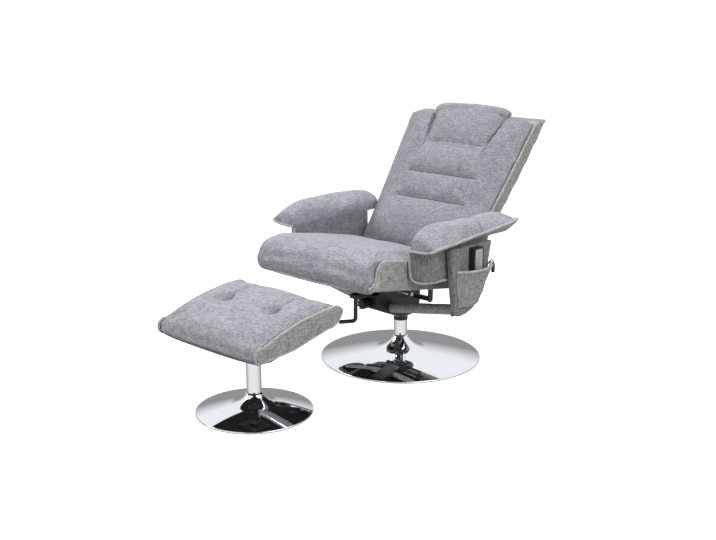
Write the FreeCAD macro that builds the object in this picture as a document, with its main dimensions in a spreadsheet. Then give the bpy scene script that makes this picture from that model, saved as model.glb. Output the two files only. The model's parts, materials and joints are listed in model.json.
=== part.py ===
"""Swivel recliner with a matching footstool, both on trumpet-shaped chrome bases."""
import FreeCAD, Part
import Sketcher
import math
import os

from FreeCAD import Placement, Rotation, Vector

# Driving dimensions in millimetres and degrees.
SIZES = {
    # chrome bases
    "chair_disc_diameter": 600,
    "chair_neck_height": 86,
    "chair_flare_radius": 100,
    "chair_flare_height": 34,
    "chair_flare_sweep": 95,
    "stool_disc_diameter": 388,
    "stool_neck_height": 66,
    "stool_flare_radius": 80,
    "stool_flare_height": 29,
    "stool_flare_sweep": 78,
    "disc_sheet": 2.5,
    "rim_gap": 2,
    "rim_height": 5,
    "floor_ring_width": 10,
    "base_bolt_diameter": 12,
    "base_washer_diameter": 36,
    "base_washer_thickness": 3,
    "bolt_head_height": 8,
    "gasket_height": 3,
    "column_diameter": 50,
    "column_wall": 2.5,
    "column_plug_height": 22,
    "chair_column_top": 147,
    # swivel
    "collar_diameter": 53,
    "collar_height": 14,
    "collar_spigot": 30,
    "spindle_diameter": 28,
    "spindle_foot_gap": 1,
    "running_clearance": 0.1,
    "thrust_washer_height": 3,
    # tilt mechanism under the seat
    "hub_diameter": 60,
    "hub_height": 7,
    "housing_width": 84,
    "housing_wall": 4,
    "housing_front_reach": 186,
    "housing_rear_reach": 62,
    "housing_hub_reach": 44,
    "housing_nose_height": 50,
    "housing_nose_top": 282,
    "housing_tail_height": 40,
    "housing_tail_top": 256,
    "pivot_front": 100,
    "pivot_height": 290,
    "pivot_ear": 15,
    "tilt_pin_diameter": 14,
    "pin_clearance": 0.1,
    "side_gap": 1,
    "knob_diameter": 38,
    "knob_length": 34,
    "knob_flutes": 8,
    "knob_flute_diameter": 8,
    "knob_drop": 31,
    "tension_screw_diameter": 10,
    "tension_screw_length": 110,
    "buffer_diameter": 30,
    "buffer_length": 64,
    "buffer_nut_diameter": 34,
    "buffer_nut_thickness": 8,
    # recline handle
    "handle_ahead": 64,
    "handle_rod_diameter": 8,
    "handle_sleeve_diameter": 14.5,
    "handle_drop": 86,
    "handle_reach": 60,
    "handle_bend": 13,
    "handle_tip": 24,
    "handle_tip_diameter": 4,
    "handle_turn": 35,
    "clamp_arm_width": 30,
    "clamp_arm_thickness": 14,
    "clamp_arm_gap": 26,
    # seat
    "seat_slope": 10,
    "seat_rise": 44,
    "seat_half_width": 266,
    "seat_front_reach": 424,
    "seat_front_bow": 26,
    "seat_rear_reach": 88,
    "seat_side_height": 96,
    "seat_crown": 22,
    "seat_rear_fall": 6,
    "seat_rear_round": 24,
    "seat_side_thickness": 20,
    "seat_side_front": 384,
    "seat_side_shoulder": 306,
    "board_thickness": 15,
    "seat_board_front": 352,
    "seat_board_inset": 26,
    "lining_thickness": 2,
    "motor_diameter": 64,
    "seat_motor_spread": 100,
    "seat_motor_front": 120,
    "control_box_length": 110,
    "control_box_width": 66,
    "control_box_height": 26,
    "control_box_side": 54,
    "control_box_front": 230,
    # seat rails and back hinge
    "rail_spread": 130,
    "rail_thickness": 5,
    "rail_depth": 18,
    "rail_front": 150,
    "hinge_back": 104,
    "hinge_up": 138,
    "hinge_pin_diameter": 8,
    "hinge_ear": 11,
    "hinge_relief": 6,
    # back
    "back_lean": 36.9,
    "back_set": 36,
    "back_low_half_width": 250,
    "back_top_half_width": 292,
    "back_bottom_drop": 8,
    "back_height": 604,
    "back_crown": 26,
    "back_foot_round": 22,
    "lumbar_seam_drop": 385,
    "middle_seam_drop": 274,
    "head_seam_drop": 161,
    "lumbar_swell": 30,
    "channel_depth": 9,
    "casing_depth": 58,
    "casing_swell": 9,
    "back_corner_radius": 14,
    "back_board_half_width": 215,
    "back_board_height": 540,
    "back_motor_spread": 90,
    "back_motor_foot_height": 150,
    "back_motor_pitch": 210,
    "head_bottom_half_width": 138,
    "head_top_half_width": 182,
    "head_rise": 46,
    "head_swell": 12,
    "head_brow": 34,
    "head_root": 12,
    "back_bar_depth": 18,
    "back_bar_height": 130,
    "tail_length": 70,
    "tail_pin_diameter": 8,
    "tail_lug": 9,
    # guide for the back's tail
    "tilt_back": 3,
    "tilt_forward": 9,
    "back_share": 1.5,
    "guide_clearance": 1.5,
    "guide_wall": 7,
    "guide_thickness": 5,
    "crossbar_diameter": 20,
    "crossbar_back": 30,
    "crossbar_height": 240,
    # arms
    "arm_gap": 6,
    "arm_panel_thickness": 66,
    "arm_panel_front": 283,
    "arm_panel_rear": 60,
    "arm_panel_bottom": 396,
    "arm_panel_top": 505,
    "arm_corner_radius": 34,
    "arm_front_round": 60,
    "arm_pad_overhang": 54,
    "arm_pad_front": 286,
    "arm_pad_rear": 186,
    "arm_pad_height": 87,
    "arm_hem_low": 11,
    "arm_hem_high": 42,
    # support brackets
    "strap_thickness": 8,
    "strap_width": 70,
    "strap_front": 135,
    "strap_bottom": 258,
    "strap_top": 492,
    "cover_thickness": 28,
    "cover_bottom": 262,
    "cover_top": 503,
    "cover_front": 183,
    "cover_rear": 49,
    "tube_diameter": 30,
    "tube_wall": 2,
    "sleeve_thickness": 4,
    "tube_low": 222,
    "tube_high": 274,
    "arm_bolt_diameter": 8,
    "arm_bolt_length": 36,
    "arm_bolt_drop": 22,
    "arm_bolt_pitch": 50,
    # pocket, handset and its lead
    "pocket_wall": 3,
    "pocket_mouth_height": 424,
    "pocket_foot_height": 296,
    "pocket_mouth_depth": 48,
    "pocket_foot_depth": 18,
    "pocket_front": 160,
    "pocket_rear": 40,
    "pocket_foot_front": 144,
    "pocket_foot_rear": -24,
    "handset_width": 52,
    "handset_thickness": 24,
    "handset_length": 130,
    "handset_front": 88,
    "handset_foot": 368,
    "handset_corner": 7,
    "face_inset": 6,
    "face_thickness": 2,
    "key_width": 11,
    "key_height": 7,
    "key_thickness": 3,
    "key_proud": 1.5,
    "key_gap": 0.4,
    "key_pitch": 16,
    "key_top_margin": 22,
    "key_travel": 1,
    "lead_diameter": 4,
    "lead_drop": 30,
    "lead_loop": 62,
    "lead_side": 3,
    "lead_crest": 10,
    "plug_back": 52,
    "plug_diameter": 13,
    "plug_length": 38,
    # footstool
    "stool_distance": 741,
    "stool_tilt": 11.7,
    "stool_column_top": 262,
    "stool_seat_height": 288,
    "stool_half_width": 235,
    "stool_front_reach": 206,
    "stool_rear_reach": 184,
    "stool_side_height": 62,
    "stool_crown": 20,
    "stool_front_bow": 14,
    "stool_side_thickness": 18,
    "stool_front_lift": 16,
    "stool_edge_drop": 6,
    "stool_edge_run": 36,
    "stool_board_inset": 34,
    "stool_board_front": 130,
    "stool_board_rear": 112,
    "stool_socket_foot": 236,
    "tuft_spread": 110,
    "tuft_depth": 11,
    "tuft_radius": 70,
    "stool_plate_side": 150,
    "stool_plate_thickness": 5,
    "stool_socket_diameter": 58,
    "screw_diameter": 6,
    "screw_length": 12,
    "screw_pitch": 110,
    "overrun": 20,
}

doc = FreeCAD.newDocument("recliner_with_footstool")
sheet = doc.addObject("Spreadsheet::Sheet", "Sizes")
for row, (alias, value) in enumerate(SIZES.items(), start=1):
    sheet.set(f"A{row}", alias)
    sheet.set(f"B{row}", str(value))
    sheet.setAlias(f"B{row}", alias)
doc.recompute()


class Tied:
    """A number that keeps the expression by which it follows the sheet."""

    def __init__(self, value, text):
        self.value = value
        self.text = text

    def __float__(self):
        return float(self.value)

    def __add__(self, other):
        other = tie(other)
        return Tied(self.value + other.value, f"({self.text} + {other.text})")

    def __sub__(self, other):
        other = tie(other)
        return Tied(self.value - other.value, f"({self.text} - {other.text})")

    def __rsub__(self, other):
        return tie(other) - self

    def __mul__(self, other):
        other = tie(other)
        return Tied(self.value * other.value, f"({self.text} * {other.text})")

    def __truediv__(self, other):
        other = tie(other)
        return Tied(self.value / other.value, f"({self.text} / {other.text})")

    def __neg__(self):
        return Tied(-self.value, f"(-{self.text})")


def tie(number):
    """Let plain numbers take part in sums of tied ones."""
    return number if isinstance(number, Tied) else Tied(float(number), f"({number})")


class Cells:
    """The sheet's sizes by name, tied for objects and as plain numbers for formulas."""

    def __init__(self, as_value):
        for name in SIZES:
            value = float(sheet.get(name))
            setattr(self, name, as_value(value, f"Sizes.{name}"))


d = Cells(Tied)
v = Cells(lambda value, text: value)


def place(piece, x=0, y=0, z=0, axis=None, angle=0):
    """Put a piece in the frame, with its place and turn tied to the sheet."""
    if axis is not None:
        piece.Placement = Placement(Vector(), Rotation(axis, float(angle)))
        piece.setExpression("Placement.Rotation.Angle", tie(angle).text)
    for name, number in zip("xyz", (x, y, z)):
        piece.setExpression(f"Placement.Base.{name}", tie(number).text)
    return piece


def origin_plane(body, role):
    return next(feature for feature in body.Origin.OriginFeatures if feature.Role == role)


def pin_down(sketch, edge, end, x, y):
    """Fix one corner of an outline by its two tied coordinates."""
    for kind, axis, number in (("DistanceX", -2, x), ("DistanceY", -1, y)):
        number = tie(number)
        if number.value == 0:
            sketch.addConstraint(Sketcher.Constraint("PointOnObject", edge, end, axis))
        else:
            index = sketch.addConstraint(Sketcher.Constraint(kind, -1, 1, edge, end, number.value))
            sketch.setExpression(f"Constraints[{index}]", number.text)


def arc_of(start, end, radius):
    """Arc of a given radius between two points; a negative one bulges to the left of the way."""
    chord = end - start
    reach = math.sqrt(radius ** 2 - (chord.Length / 2) ** 2)
    left = Vector(-chord.y, chord.x, 0).normalize()
    centre = (start + end) * (1 / 2) + left * math.copysign(reach, radius)
    first, last = (start, end) if radius > 0 else (end, start)
    ring = Part.Circle(centre, Vector(0, 0, 1), abs(radius))
    angles = [math.atan2(point.y - centre.y, point.x - centre.x) for point in (first, last)]
    return Part.ArcOfCircle(ring, *angles)


def outline(sketch, corners):
    """Closed outline of tied corners; a corner with a radius is reached by an arc."""
    first = sketch.GeometryCount
    count = len(corners)
    points = [Vector(float(tie(corner[0])), float(tie(corner[1])), 0) for corner in corners]
    starts = []
    ends = []
    for index in range(count):
        here, there = points[index], points[(index + 1) % count]
        radius = corners[(index + 1) % count][2:]
        if radius:
            size = tie(radius[0])
            edge = sketch.addGeometry(arc_of(here, there, size.value))
            forward = size.value > 0
            size = size if forward else -size
            fixed = sketch.addConstraint(Sketcher.Constraint("Radius", edge, size.value))
            sketch.setExpression(f"Constraints[{fixed}]", size.text)
        else:
            edge = sketch.addGeometry(Part.LineSegment(here, there))
            forward = True
        starts.append(1 if forward else 2)
        ends.append(2 if forward else 1)
    for index in range(count):
        edge, before = first + index, first + (index - 1) % count
        sketch.addConstraint(
            Sketcher.Constraint("Coincident", before, ends[index - 1], edge, starts[index]))
        pin_down(sketch, edge, starts[index], corners[index][0], corners[index][1])


def circle(sketch, x, y, diameter):
    edge = sketch.addGeometry(
        Part.Circle(Vector(float(tie(x)), float(tie(y)), 0), Vector(0, 0, 1), float(diameter) / 2))
    pin_down(sketch, edge, 3, x, y)
    index = sketch.addConstraint(Sketcher.Constraint("Diameter", edge, float(diameter)))
    sketch.setExpression(f"Constraints[{index}]", diameter.text)


def new_sketch(body, role, name):
    sketch = body.newObject("Sketcher::SketchObject", f"{body.Name}_{name}")
    sketch.AttachmentSupport = [(origin_plane(body, role), "")]
    sketch.MapMode = "FlatFace"
    return sketch


def turned(name, corners, **where):
    """A piece turned on a lathe from its half outline, radius first, then height."""
    body = doc.addObject("PartDesign::Body", name)
    sketch = new_sketch(body, "XZ_Plane", "outline")
    outline(sketch, corners)
    turn = body.newObject("PartDesign::Revolution", f"{name}_turn")
    turn.Profile = sketch
    turn.ReferenceAxis = (sketch, ["V_Axis"])
    turn.Angle = 360
    return place(body, **where)


def padded(body, sketch, length, name):
    """Push a sketch out evenly to both sides of its plane."""
    pad = body.newObject("PartDesign::Pad", f"{body.Name}_{name}")
    pad.Profile = sketch
    pad.SideType = "Symmetric"
    pad.setExpression("Length", length.text)
    return pad


def pocketed(body, sketch, length, name):
    """Cut a sketch out evenly to both sides of its plane."""
    pocket = body.newObject("PartDesign::Pocket", f"{body.Name}_{name}")
    pocket.Profile = sketch
    pocket.SideType = "Symmetric"
    pocket.setExpression("Length", length.text)
    return pocket


def rod(name, diameter, length, axis=None, angle=0, **where):
    """A plain round rod, upright unless it is turned."""
    piece = doc.addObject("Part::Cylinder", name)
    piece.setExpression("Radius", (diameter / 2).text)
    piece.setExpression("Height", length.text)
    return place(piece, axis=axis, angle=angle, **where)


def bored(name, solid, tool):
    cut = doc.addObject("Part::Cut", name)
    cut.Base = solid
    cut.Tool = tool
    return cut


X_AXIS = Vector(1, 0, 0)
Y_AXIS = Vector(0, 1, 0)


# Chrome pedestals: spun disc, rubber ring, gasket, tube and the bolt that holds them.
def pedestal(prefix, diameter, neck_height, flare_radius, flare_height, sweep, column_top, y):
    radius = diameter / 2
    rim_top = d.rim_gap + d.rim_height
    neck = d.column_diameter / 2 + d.disc_sheet
    bore = d.base_bolt_diameter / 2
    sheet_in = d.disc_sheet
    turned(f"{prefix}_base_disc", [
        (radius, d.rim_gap),
        (radius, rim_top),
        (flare_radius, flare_height),
        (neck, neck_height, -sweep),
        (bore, neck_height),
        (bore, neck_height - sheet_in),
        (neck - sheet_in, neck_height - sheet_in),
        (flare_radius, flare_height - sheet_in, sweep + sheet_in),
        (radius - sheet_in, rim_top - sheet_in),
        (radius - sheet_in, d.rim_gap),
    ], y=y)
    ring_out = radius - sheet_in
    ring_top = rim_top - sheet_in
    turned(f"{prefix}_floor_ring", [
        (ring_out - d.floor_ring_width, 0),
        (ring_out, 0),
        (ring_out, ring_top),
        (ring_out - d.floor_ring_width, ring_top),
    ], y=y)
    column = d.column_diameter / 2
    tube_in = column - d.column_wall
    gasket_top = neck_height + d.gasket_height
    turned(f"{prefix}_column_gasket", [
        (bore, neck_height),
        (column, neck_height),
        (column, gasket_top),
        (bore, gasket_top),
    ], y=y)
    plug_top = gasket_top + d.column_plug_height
    turned(f"{prefix}_column_tube", [
        (bore, gasket_top),
        (column, gasket_top),
        (column, column_top),
        (tube_in, column_top),
        (tube_in, plug_top),
        (bore, plug_top),
    ], y=y)
    washer_top = neck_height - sheet_in
    washer_bottom = washer_top - d.base_washer_thickness
    head = d.base_bolt_diameter
    turned(f"{prefix}_base_bolt", [
        (0, washer_bottom - d.bolt_head_height),
        (head, washer_bottom - d.bolt_head_height),
        (head, washer_bottom),
        (d.base_washer_diameter / 2, washer_bottom),
        (d.base_washer_diameter / 2, washer_top),
        (bore, washer_top),
        (bore, plug_top),
        (0, plug_top),
    ], y=y)


pedestal("chair", d.chair_disc_diameter, d.chair_neck_height, d.chair_flare_radius,
         d.chair_flare_height, d.chair_flare_sweep, d.chair_column_top, tie(0))
pedestal("stool", d.stool_disc_diameter, d.stool_neck_height, d.stool_flare_radius,
         d.stool_flare_height, d.stool_flare_sweep, d.stool_column_top, -d.stool_distance)


# Swivel: collar bush in the tube's mouth, thrust washer and the spindle that turns in it.
def swivel():
    tube_in = d.column_diameter / 2 - d.column_wall
    spindle = d.spindle_diameter / 2
    bore = spindle + d.running_clearance
    top = d.chair_column_top + d.collar_height
    turned("column_collar", [
        (bore, d.chair_column_top - d.collar_spigot),
        (tube_in, d.chair_column_top - d.collar_spigot),
        (tube_in, d.chair_column_top),
        (d.collar_diameter / 2, d.chair_column_top),
        (d.collar_diameter / 2, top),
        (bore, top),
    ])
    washer_top = top + d.thrust_washer_height
    turned("thrust_washer", [
        (bore, top),
        (d.collar_diameter / 2 - d.column_wall, top),
        (d.collar_diameter / 2 - d.column_wall, washer_top),
        (bore, washer_top),
    ])
    foot = d.chair_neck_height + d.gasket_height + d.column_plug_height + d.spindle_foot_gap
    hub = washer_top + d.hub_height
    turned("swivel_spindle", [
        (0, foot),
        (spindle, foot),
        (spindle, washer_top),
        (d.hub_diameter / 2, washer_top),
        (d.hub_diameter / 2, hub),
        (0, hub),
    ])
    return hub


hub_top = swivel()
pivot_y = -d.pivot_front


# Tilt mechanism: pressed housing on the spindle's hub, tilt pin, tension spring and knob.
def mechanism():
    floor = hub_top
    body = doc.addObject("PartDesign::Body", "mechanism_housing")
    side = new_sketch(body, "YZ_Plane", "side")
    ear_top = d.pivot_height + d.pivot_ear
    nose_low = d.housing_nose_top - d.housing_nose_height
    tail_low = d.housing_tail_top - d.housing_tail_height
    outline(side, [
        (-d.housing_hub_reach, floor),
        (d.housing_hub_reach, floor),
        (d.housing_rear_reach, tail_low),
        (d.housing_rear_reach, d.housing_tail_top),
        (pivot_y + d.pivot_ear, ear_top),
        (pivot_y - d.pivot_ear, ear_top),
        (-d.housing_front_reach, d.housing_nose_top),
        (-d.housing_front_reach, nose_low),
    ])
    padded(body, side, d.housing_width, "pressing")
    inside = new_sketch(body, "YZ_Plane", "inside")
    wall = d.housing_wall
    above = ear_top + d.overrun
    outline(inside, [
        (-d.housing_hub_reach, floor + wall),
        (d.housing_hub_reach, floor + wall),
        (d.housing_rear_reach - wall, tail_low + wall),
        (d.housing_rear_reach - wall, above),
        (wall - d.housing_front_reach, above),
        (wall - d.housing_front_reach, nose_low + wall),
    ])
    pocketed(body, inside, d.housing_width - wall * 2, "hollow")
    bore = new_sketch(body, "YZ_Plane", "bores")
    circle(bore, pivot_y, d.pivot_height, d.tilt_pin_diameter + d.pin_clearance * 2)
    circle(bore, d.crossbar_back, d.crossbar_height, d.crossbar_diameter)
    pocketed(body, bore, d.housing_width + d.overrun, "cross_bores")
    nose = new_sketch(body, "XZ_Plane", "nose")
    circle(nose, 0, knob_z, d.tension_screw_diameter + d.pin_clearance * 2)
    hole = body.newObject("PartDesign::Pocket", "mechanism_housing_screw_hole")
    hole.Profile = nose
    hole.setExpression("Length", (d.housing_front_reach + d.overrun).text)
    doc.recompute()
    nose_middle = Vector(0, v.housing_wall / 2 - v.housing_front_reach, float(knob_z))
    hole.Reversed = hole.Shape.isInside(nose_middle, v.pin_clearance, True)
    half = d.rail_spread + d.rail_thickness + d.side_gap
    rod("tilt_pin", d.tilt_pin_diameter, half * 2, Y_AXIS, tie(90),
        x=-half, y=pivot_y, z=d.pivot_height)


knob_z = d.housing_nose_top - d.knob_drop
mechanism()


def formed(name, shape, frame=Placement()):
    """A piece whose form comes from lofts and sweeps, set in its own frame."""
    piece = doc.addObject("Part::Feature", name)
    piece.Shape = shape
    piece.Placement = frame
    return piece


def path(steps, closed=True):
    """Wire of straight runs and arcs; a step is a point, or a pair of middle and end."""
    edges = []
    here = steps[0]
    for step in steps[1:]:
        if isinstance(step, tuple):
            edges.append(Part.Arc(here, *step).toShape())
            here = step[1]
        else:
            edges.append(Part.LineSegment(here, step).toShape())
            here = step
    if closed and not here.isEqual(steps[0], v.running_clearance):
        edges.append(Part.LineSegment(here, steps[0]).toShape())
    return Part.Wire(edges)


def prism(steps, push):
    """Solid made by pushing a closed outline along a vector."""
    return Part.Face(path(steps)).extrude(push)


def lofted(wires, ruled=False):
    return Part.makeLoft(wires, True, ruled)


def block(low, high):
    size = high - low
    return Part.makeBox(size.x, size.y, size.z, low)


def cylinder(diameter, start, push):
    return Part.makeCylinder(diameter / 2, push.Length, start, push)


def swept(diameter, spine):
    """Round bar along a path of runs and arcs."""
    start = spine.Edges[0].valueAt(spine.Edges[0].FirstParameter)
    heading = spine.Edges[0].tangentAt(spine.Edges[0].FirstParameter)
    ring = Part.Wire([Part.Circle(start, heading, diameter / 2).toShape()])
    return spine.makePipeShell([ring], True, True)


SIDES = (("left", 1), ("right", -1))


# Tension knob with its screw, and the rubber buffer that it loads.
def tension():
    front = -d.housing_front_reach
    body = place(doc.addObject("PartDesign::Body", "tension_knob"), y=front - d.side_gap, z=knob_z)
    disc = new_sketch(body, "XZ_Plane", "disc")
    circle(disc, 0, 0, d.knob_diameter)
    pad = body.newObject("PartDesign::Pad", "tension_knob_disc_pad")
    pad.Profile = disc
    pad.setExpression("Length", d.knob_length.text)
    flute = new_sketch(body, "XZ_Plane", "flute")
    circle(flute, d.knob_diameter / 2, 0, d.knob_flute_diameter)
    groove = body.newObject("PartDesign::Pocket", "tension_knob_flute_cut")
    groove.Profile = flute
    groove.SideType = "Symmetric"
    groove.setExpression("Length", (d.knob_length * 2 + d.overrun).text)
    around = body.newObject("PartDesign::PolarPattern", "tension_knob_flutes")
    around.Originals = [groove]
    around.Axis = (disc, ["N_Axis"])
    around.Angle = 360
    around.setExpression("Occurrences", d.knob_flutes.text)
    body.Tip = around
    bore = new_sketch(body, "XZ_Plane", "bore")
    circle(bore, 0, 0, d.tension_screw_diameter)
    hole = body.newObject("PartDesign::Pocket", "tension_knob_bore_cut")
    hole.Profile = bore
    hole.SideType = "Symmetric"
    hole.setExpression("Length", d.knob_length.text)
    rod("tension_screw", d.tension_screw_diameter, d.tension_screw_length, X_AXIS, tie(-90),
        y=front - d.side_gap - d.knob_length / 2, z=knob_z)
    inside = d.housing_wall - d.housing_front_reach
    gap = d.running_clearance * 2
    buffer_bore = rod("buffer_bore", d.tension_screw_diameter + gap, d.buffer_length, X_AXIS, tie(-90),
                      y=inside, z=knob_z)
    buffer_block = rod("buffer_block", d.buffer_diameter, d.buffer_length, X_AXIS, tie(-90),
                       y=inside, z=knob_z)
    bored("tension_buffer", buffer_block, buffer_bore)
    nut_bore = rod("nut_bore", d.tension_screw_diameter + gap, d.buffer_nut_thickness, X_AXIS, tie(-90),
                   y=inside + d.buffer_length, z=knob_z)
    nut_block = rod("nut_block", d.buffer_nut_diameter, d.buffer_nut_thickness, X_AXIS, tie(-90),
                    y=inside + d.buffer_length, z=knob_z)
    bored("tension_nut", nut_block, nut_bore)


# Recline handle: bent rod in a black sleeve, hung from the clamp arm at the housing's nose.
def recline_handle():
    top = v.housing_nose_top
    handle_front = v.housing_front_reach + v.handle_ahead
    arm = block(Vector(-v.clamp_arm_width / 2, -handle_front - v.clamp_arm_width / 2, top),
                Vector(v.clamp_arm_width / 2, -v.pivot_front - v.clamp_arm_gap,
                       top + v.clamp_arm_thickness))
    bore = cylinder(v.handle_rod_diameter + 2 * v.pin_clearance,
                    Vector(0, -handle_front, top - v.overrun),
                    Vector(0, 0, v.clamp_arm_thickness + 2 * v.overrun))
    formed("clamp_arm", arm.cut(bore).cut(doc.getObject("mechanism_housing").Shape))
    # the handle is drawn straight ahead and turned about its upright leg
    turn = Placement(Vector(0, -handle_front, top), Rotation(Vector(0, 0, 1), -v.handle_turn))
    bend = v.handle_bend
    corner = bend * (1 - math.sqrt(1 / 2))
    low = -v.handle_drop

    def bent(diameter, start, reach):
        return swept(diameter, path([
            Vector(0, 0, start),
            Vector(0, 0, low + bend),
            (Vector(0, -corner, low + corner), Vector(0, -bend, low)),
            Vector(0, -reach, low),
        ], closed=False))

    rod_bar = bent(v.handle_rod_diameter, v.clamp_arm_thickness, v.handle_reach)
    tip = cylinder(v.handle_tip_diameter, Vector(0, -v.handle_reach, low), Vector(0, -v.handle_tip, 0))
    formed("recline_handle_rod", rod_bar.fuse(tip).removeSplitter(), turn)
    sleeve = bent(v.handle_sleeve_diameter, -v.side_gap, v.handle_reach)
    core = bent(v.handle_rod_diameter, v.overrun, v.handle_reach + v.overrun)
    formed("recline_handle_sleeve", sleeve.cut(core), turn)


tension()
recline_handle()

# Frames of the two reclining pieces: the seat turns on the tilt pin, the back on its hinge pins.
seat_frame = Placement(Vector(0, -v.pivot_front, v.pivot_height), Rotation(X_AXIS, -v.seat_slope))
hinge = seat_frame.multVec(Vector(0, v.hinge_back, v.hinge_up))
back_frame = Placement(hinge, Rotation(X_AXIS, -v.back_lean))

SLOPE_45_SHARE = 1 - math.sqrt(1 / 2)


# Seat: crowned cushion with a rolled front, side panels, board, lining and massage units.
SEAT_WIDTH_SHARES = (-1, -0.92, -0.6, 0, 0.6, 0.92, 1)
SEAT_CROWN_SHARES = (0, 0.45, 0.85, 1, 0.85, 0.45, 0)
SEAT_BOW_SHARES = (0, 0.5, 0.9, 1, 0.9, 0.5, 0)
SHOULDER_SHARE = 0.3


def rolled_section(x, low, high, front, rear, rear_fall, rear_round, arch):
    """Side outline of a pad with a round nose and an eased rear edge."""
    roll = (high - low) / 2
    ease = roll * SLOPE_45_SHARE
    rear_ease = rear_round * SLOPE_45_SHARE
    rear_top = high - rear_fall
    return path([
        Vector(x, rear, low),
        Vector(x, front + roll, low),
        (Vector(x, front + ease, low + ease), Vector(x, front, low + roll)),
        (Vector(x, front + ease, high - ease), Vector(x, front + roll, high)),
        (Vector(x, (front + rear) / 2, (high + rear_top) / 2 + arch), Vector(x, rear - rear_round, rear_top)),
        (Vector(x, rear - rear_ease, rear_top - rear_ease), Vector(x, rear, rear_top - rear_round)),
    ])


def motor_set(spots, diameter, low, high, lying):
    """Round massage units that fill holes in a board."""
    if lying:
        return [cylinder(diameter, Vector(x, y, low), Vector(0, 0, high - low)) for x, y in spots]
    return [cylinder(diameter, Vector(x, low, z), Vector(0, high - low, 0)) for x, z in spots]


def seat():
    low = v.seat_rise
    pipe = low + v.seat_side_height
    rear = v.seat_rear_reach
    wires = []
    for width, crown, bow in zip(SEAT_WIDTH_SHARES, SEAT_CROWN_SHARES, SEAT_BOW_SHARES):
        front = -v.seat_front_reach + v.seat_front_bow * (1 - bow)
        wires.append(rolled_section(width * v.seat_half_width, low, pipe + v.seat_crown * crown, front, rear,
                                    v.seat_rear_fall, v.seat_rear_round, v.seat_crown / 4))
    cushion = lofted(wires)
    middle = Vector(0, -(v.seat_side_shoulder + v.seat_side_front) / 2, (low + pipe) / 2)
    run = (v.seat_side_front - v.seat_side_shoulder) / 2
    rise = v.seat_side_height / 2
    panels = []
    for side, sign in SIDES:
        outer = Vector(sign * v.seat_half_width, 0, 0)
        panel = prism([
            outer + Vector(0, -v.seat_side_front, low),
            outer + Vector(0, rear, low),
            outer + Vector(0, rear, pipe - v.seat_rear_round),
            outer + Vector(0, rear - v.seat_rear_round, pipe),
            outer + Vector(0, -v.seat_side_shoulder, pipe),
            (outer + Vector(0, -v.seat_side_shoulder - run * (1 - SHOULDER_SHARE),
                            pipe - rise * SHOULDER_SHARE), outer + middle),
            (outer + middle + Vector(0, -run * SHOULDER_SHARE, -rise * (1 - SHOULDER_SHARE)),
             outer + Vector(0, -v.seat_side_front, low)),
        ], Vector(-sign * v.seat_side_thickness, 0, 0))
        panels.append(panel)
    formed("seat_sides", Part.makeCompound(panels), seat_frame)
    cushion = cushion.cut(panels)
    lining_top = low + v.lining_thickness
    board_top = lining_top + v.board_thickness
    half = v.seat_half_width - v.seat_board_inset
    board = block(Vector(-half, -v.seat_board_front, lining_top), Vector(half, rear, board_top))
    lining = block(Vector(-half, -v.seat_board_front, low), Vector(half, rear, lining_top))
    cushion = cushion.cut(board).cut(lining)
    spots = [(sign * v.seat_motor_spread, -v.seat_motor_front) for side, sign in SIDES]
    motors = motor_set(spots, v.motor_diameter, lining_top, board_top, True)
    formed("seat_board", board.cut(motors), seat_frame)
    formed("seat_motors", Part.makeCompound(motors), seat_frame)
    formed("seat_lining", lining, seat_frame)
    formed("seat_cushion", cushion, seat_frame)
    box_low = Vector(-v.control_box_side - v.control_box_width, -v.control_box_front,
                     low - v.control_box_height)
    box_high = Vector(-v.control_box_side, v.control_box_length - v.control_box_front, low)
    formed("control_box", block(box_low, box_high), seat_frame)


def seat_rails():
    low = v.seat_rise - v.rail_depth
    ear = v.pivot_ear
    rails = []
    for side, sign in SIDES:
        start = v.rail_spread if sign > 0 else -v.rail_spread - v.rail_thickness
        across = Vector(v.rail_thickness, 0, 0)
        end = start + v.rail_thickness
        bar = block(Vector(start, -v.rail_front, low), Vector(end, v.hinge_back + v.hinge_ear, v.seat_rise))
        lug = block(Vector(start, -ear, 0), Vector(end, ear, v.seat_rise))
        arm = block(Vector(start, v.hinge_back - v.hinge_ear, low),
                    Vector(end, v.hinge_back + v.hinge_ear, v.hinge_up))
        boss = cylinder(2 * ear, Vector(start, 0, 0), across)
        eye = cylinder(2 * v.hinge_ear, Vector(start, v.hinge_back, v.hinge_up), across)
        inner = v.rail_spread - v.side_gap / 2 - v.rail_thickness
        pin_start = inner if sign > 0 else -v.rail_spread - v.rail_thickness
        pin = cylinder(v.hinge_pin_diameter, Vector(pin_start, v.hinge_back, v.hinge_up),
                       Vector(v.rail_spread + v.rail_thickness - inner, 0, 0))
        rail = bar.fuse([lug, arm, boss, eye, pin]).removeSplitter()
        bore = cylinder(v.tilt_pin_diameter + 2 * v.pin_clearance, Vector(start - v.overrun, 0, 0),
                        across + Vector(2 * v.overrun, 0, 0))
        rails.append(rail.cut(bore))
    formed("seat_rails", Part.makeCompound(rails), seat_frame)


# Back: channelled cushion, head pillow, board, casing and the bars that carry it.
BACK_WIDTH_SHARES = (-1, -0.93, -0.74, -0.52, 0, 0.52, 0.74, 0.93, 1)
BACK_CROWN_SHARES = (0.35, 0.8, 1.15, 1, 1, 1, 1.15, 0.8, 0.35)
BACK_CHANNEL_SHARES = (0, 0, 0.1, 1, 1, 1, 0.1, 0, 0)
BACK_LUMBAR_SHARES = (0.15, 0.35, 0.7, 1, 1, 1, 0.7, 0.35, 0.15)
BACK_CORNER_SHARES = (1, 0.35, 0.05, 0, 0, 0, 0.05, 0.35, 1)
HEAD_WIDTH_SHARES = (-1, -0.9, -0.5, 0, 0.5, 0.9, 1)
HEAD_SWELL_SHARES = (0, 0.45, 0.9, 1, 0.9, 0.45, 0)
HEAD_LOW_SHARE = 0.55


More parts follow.
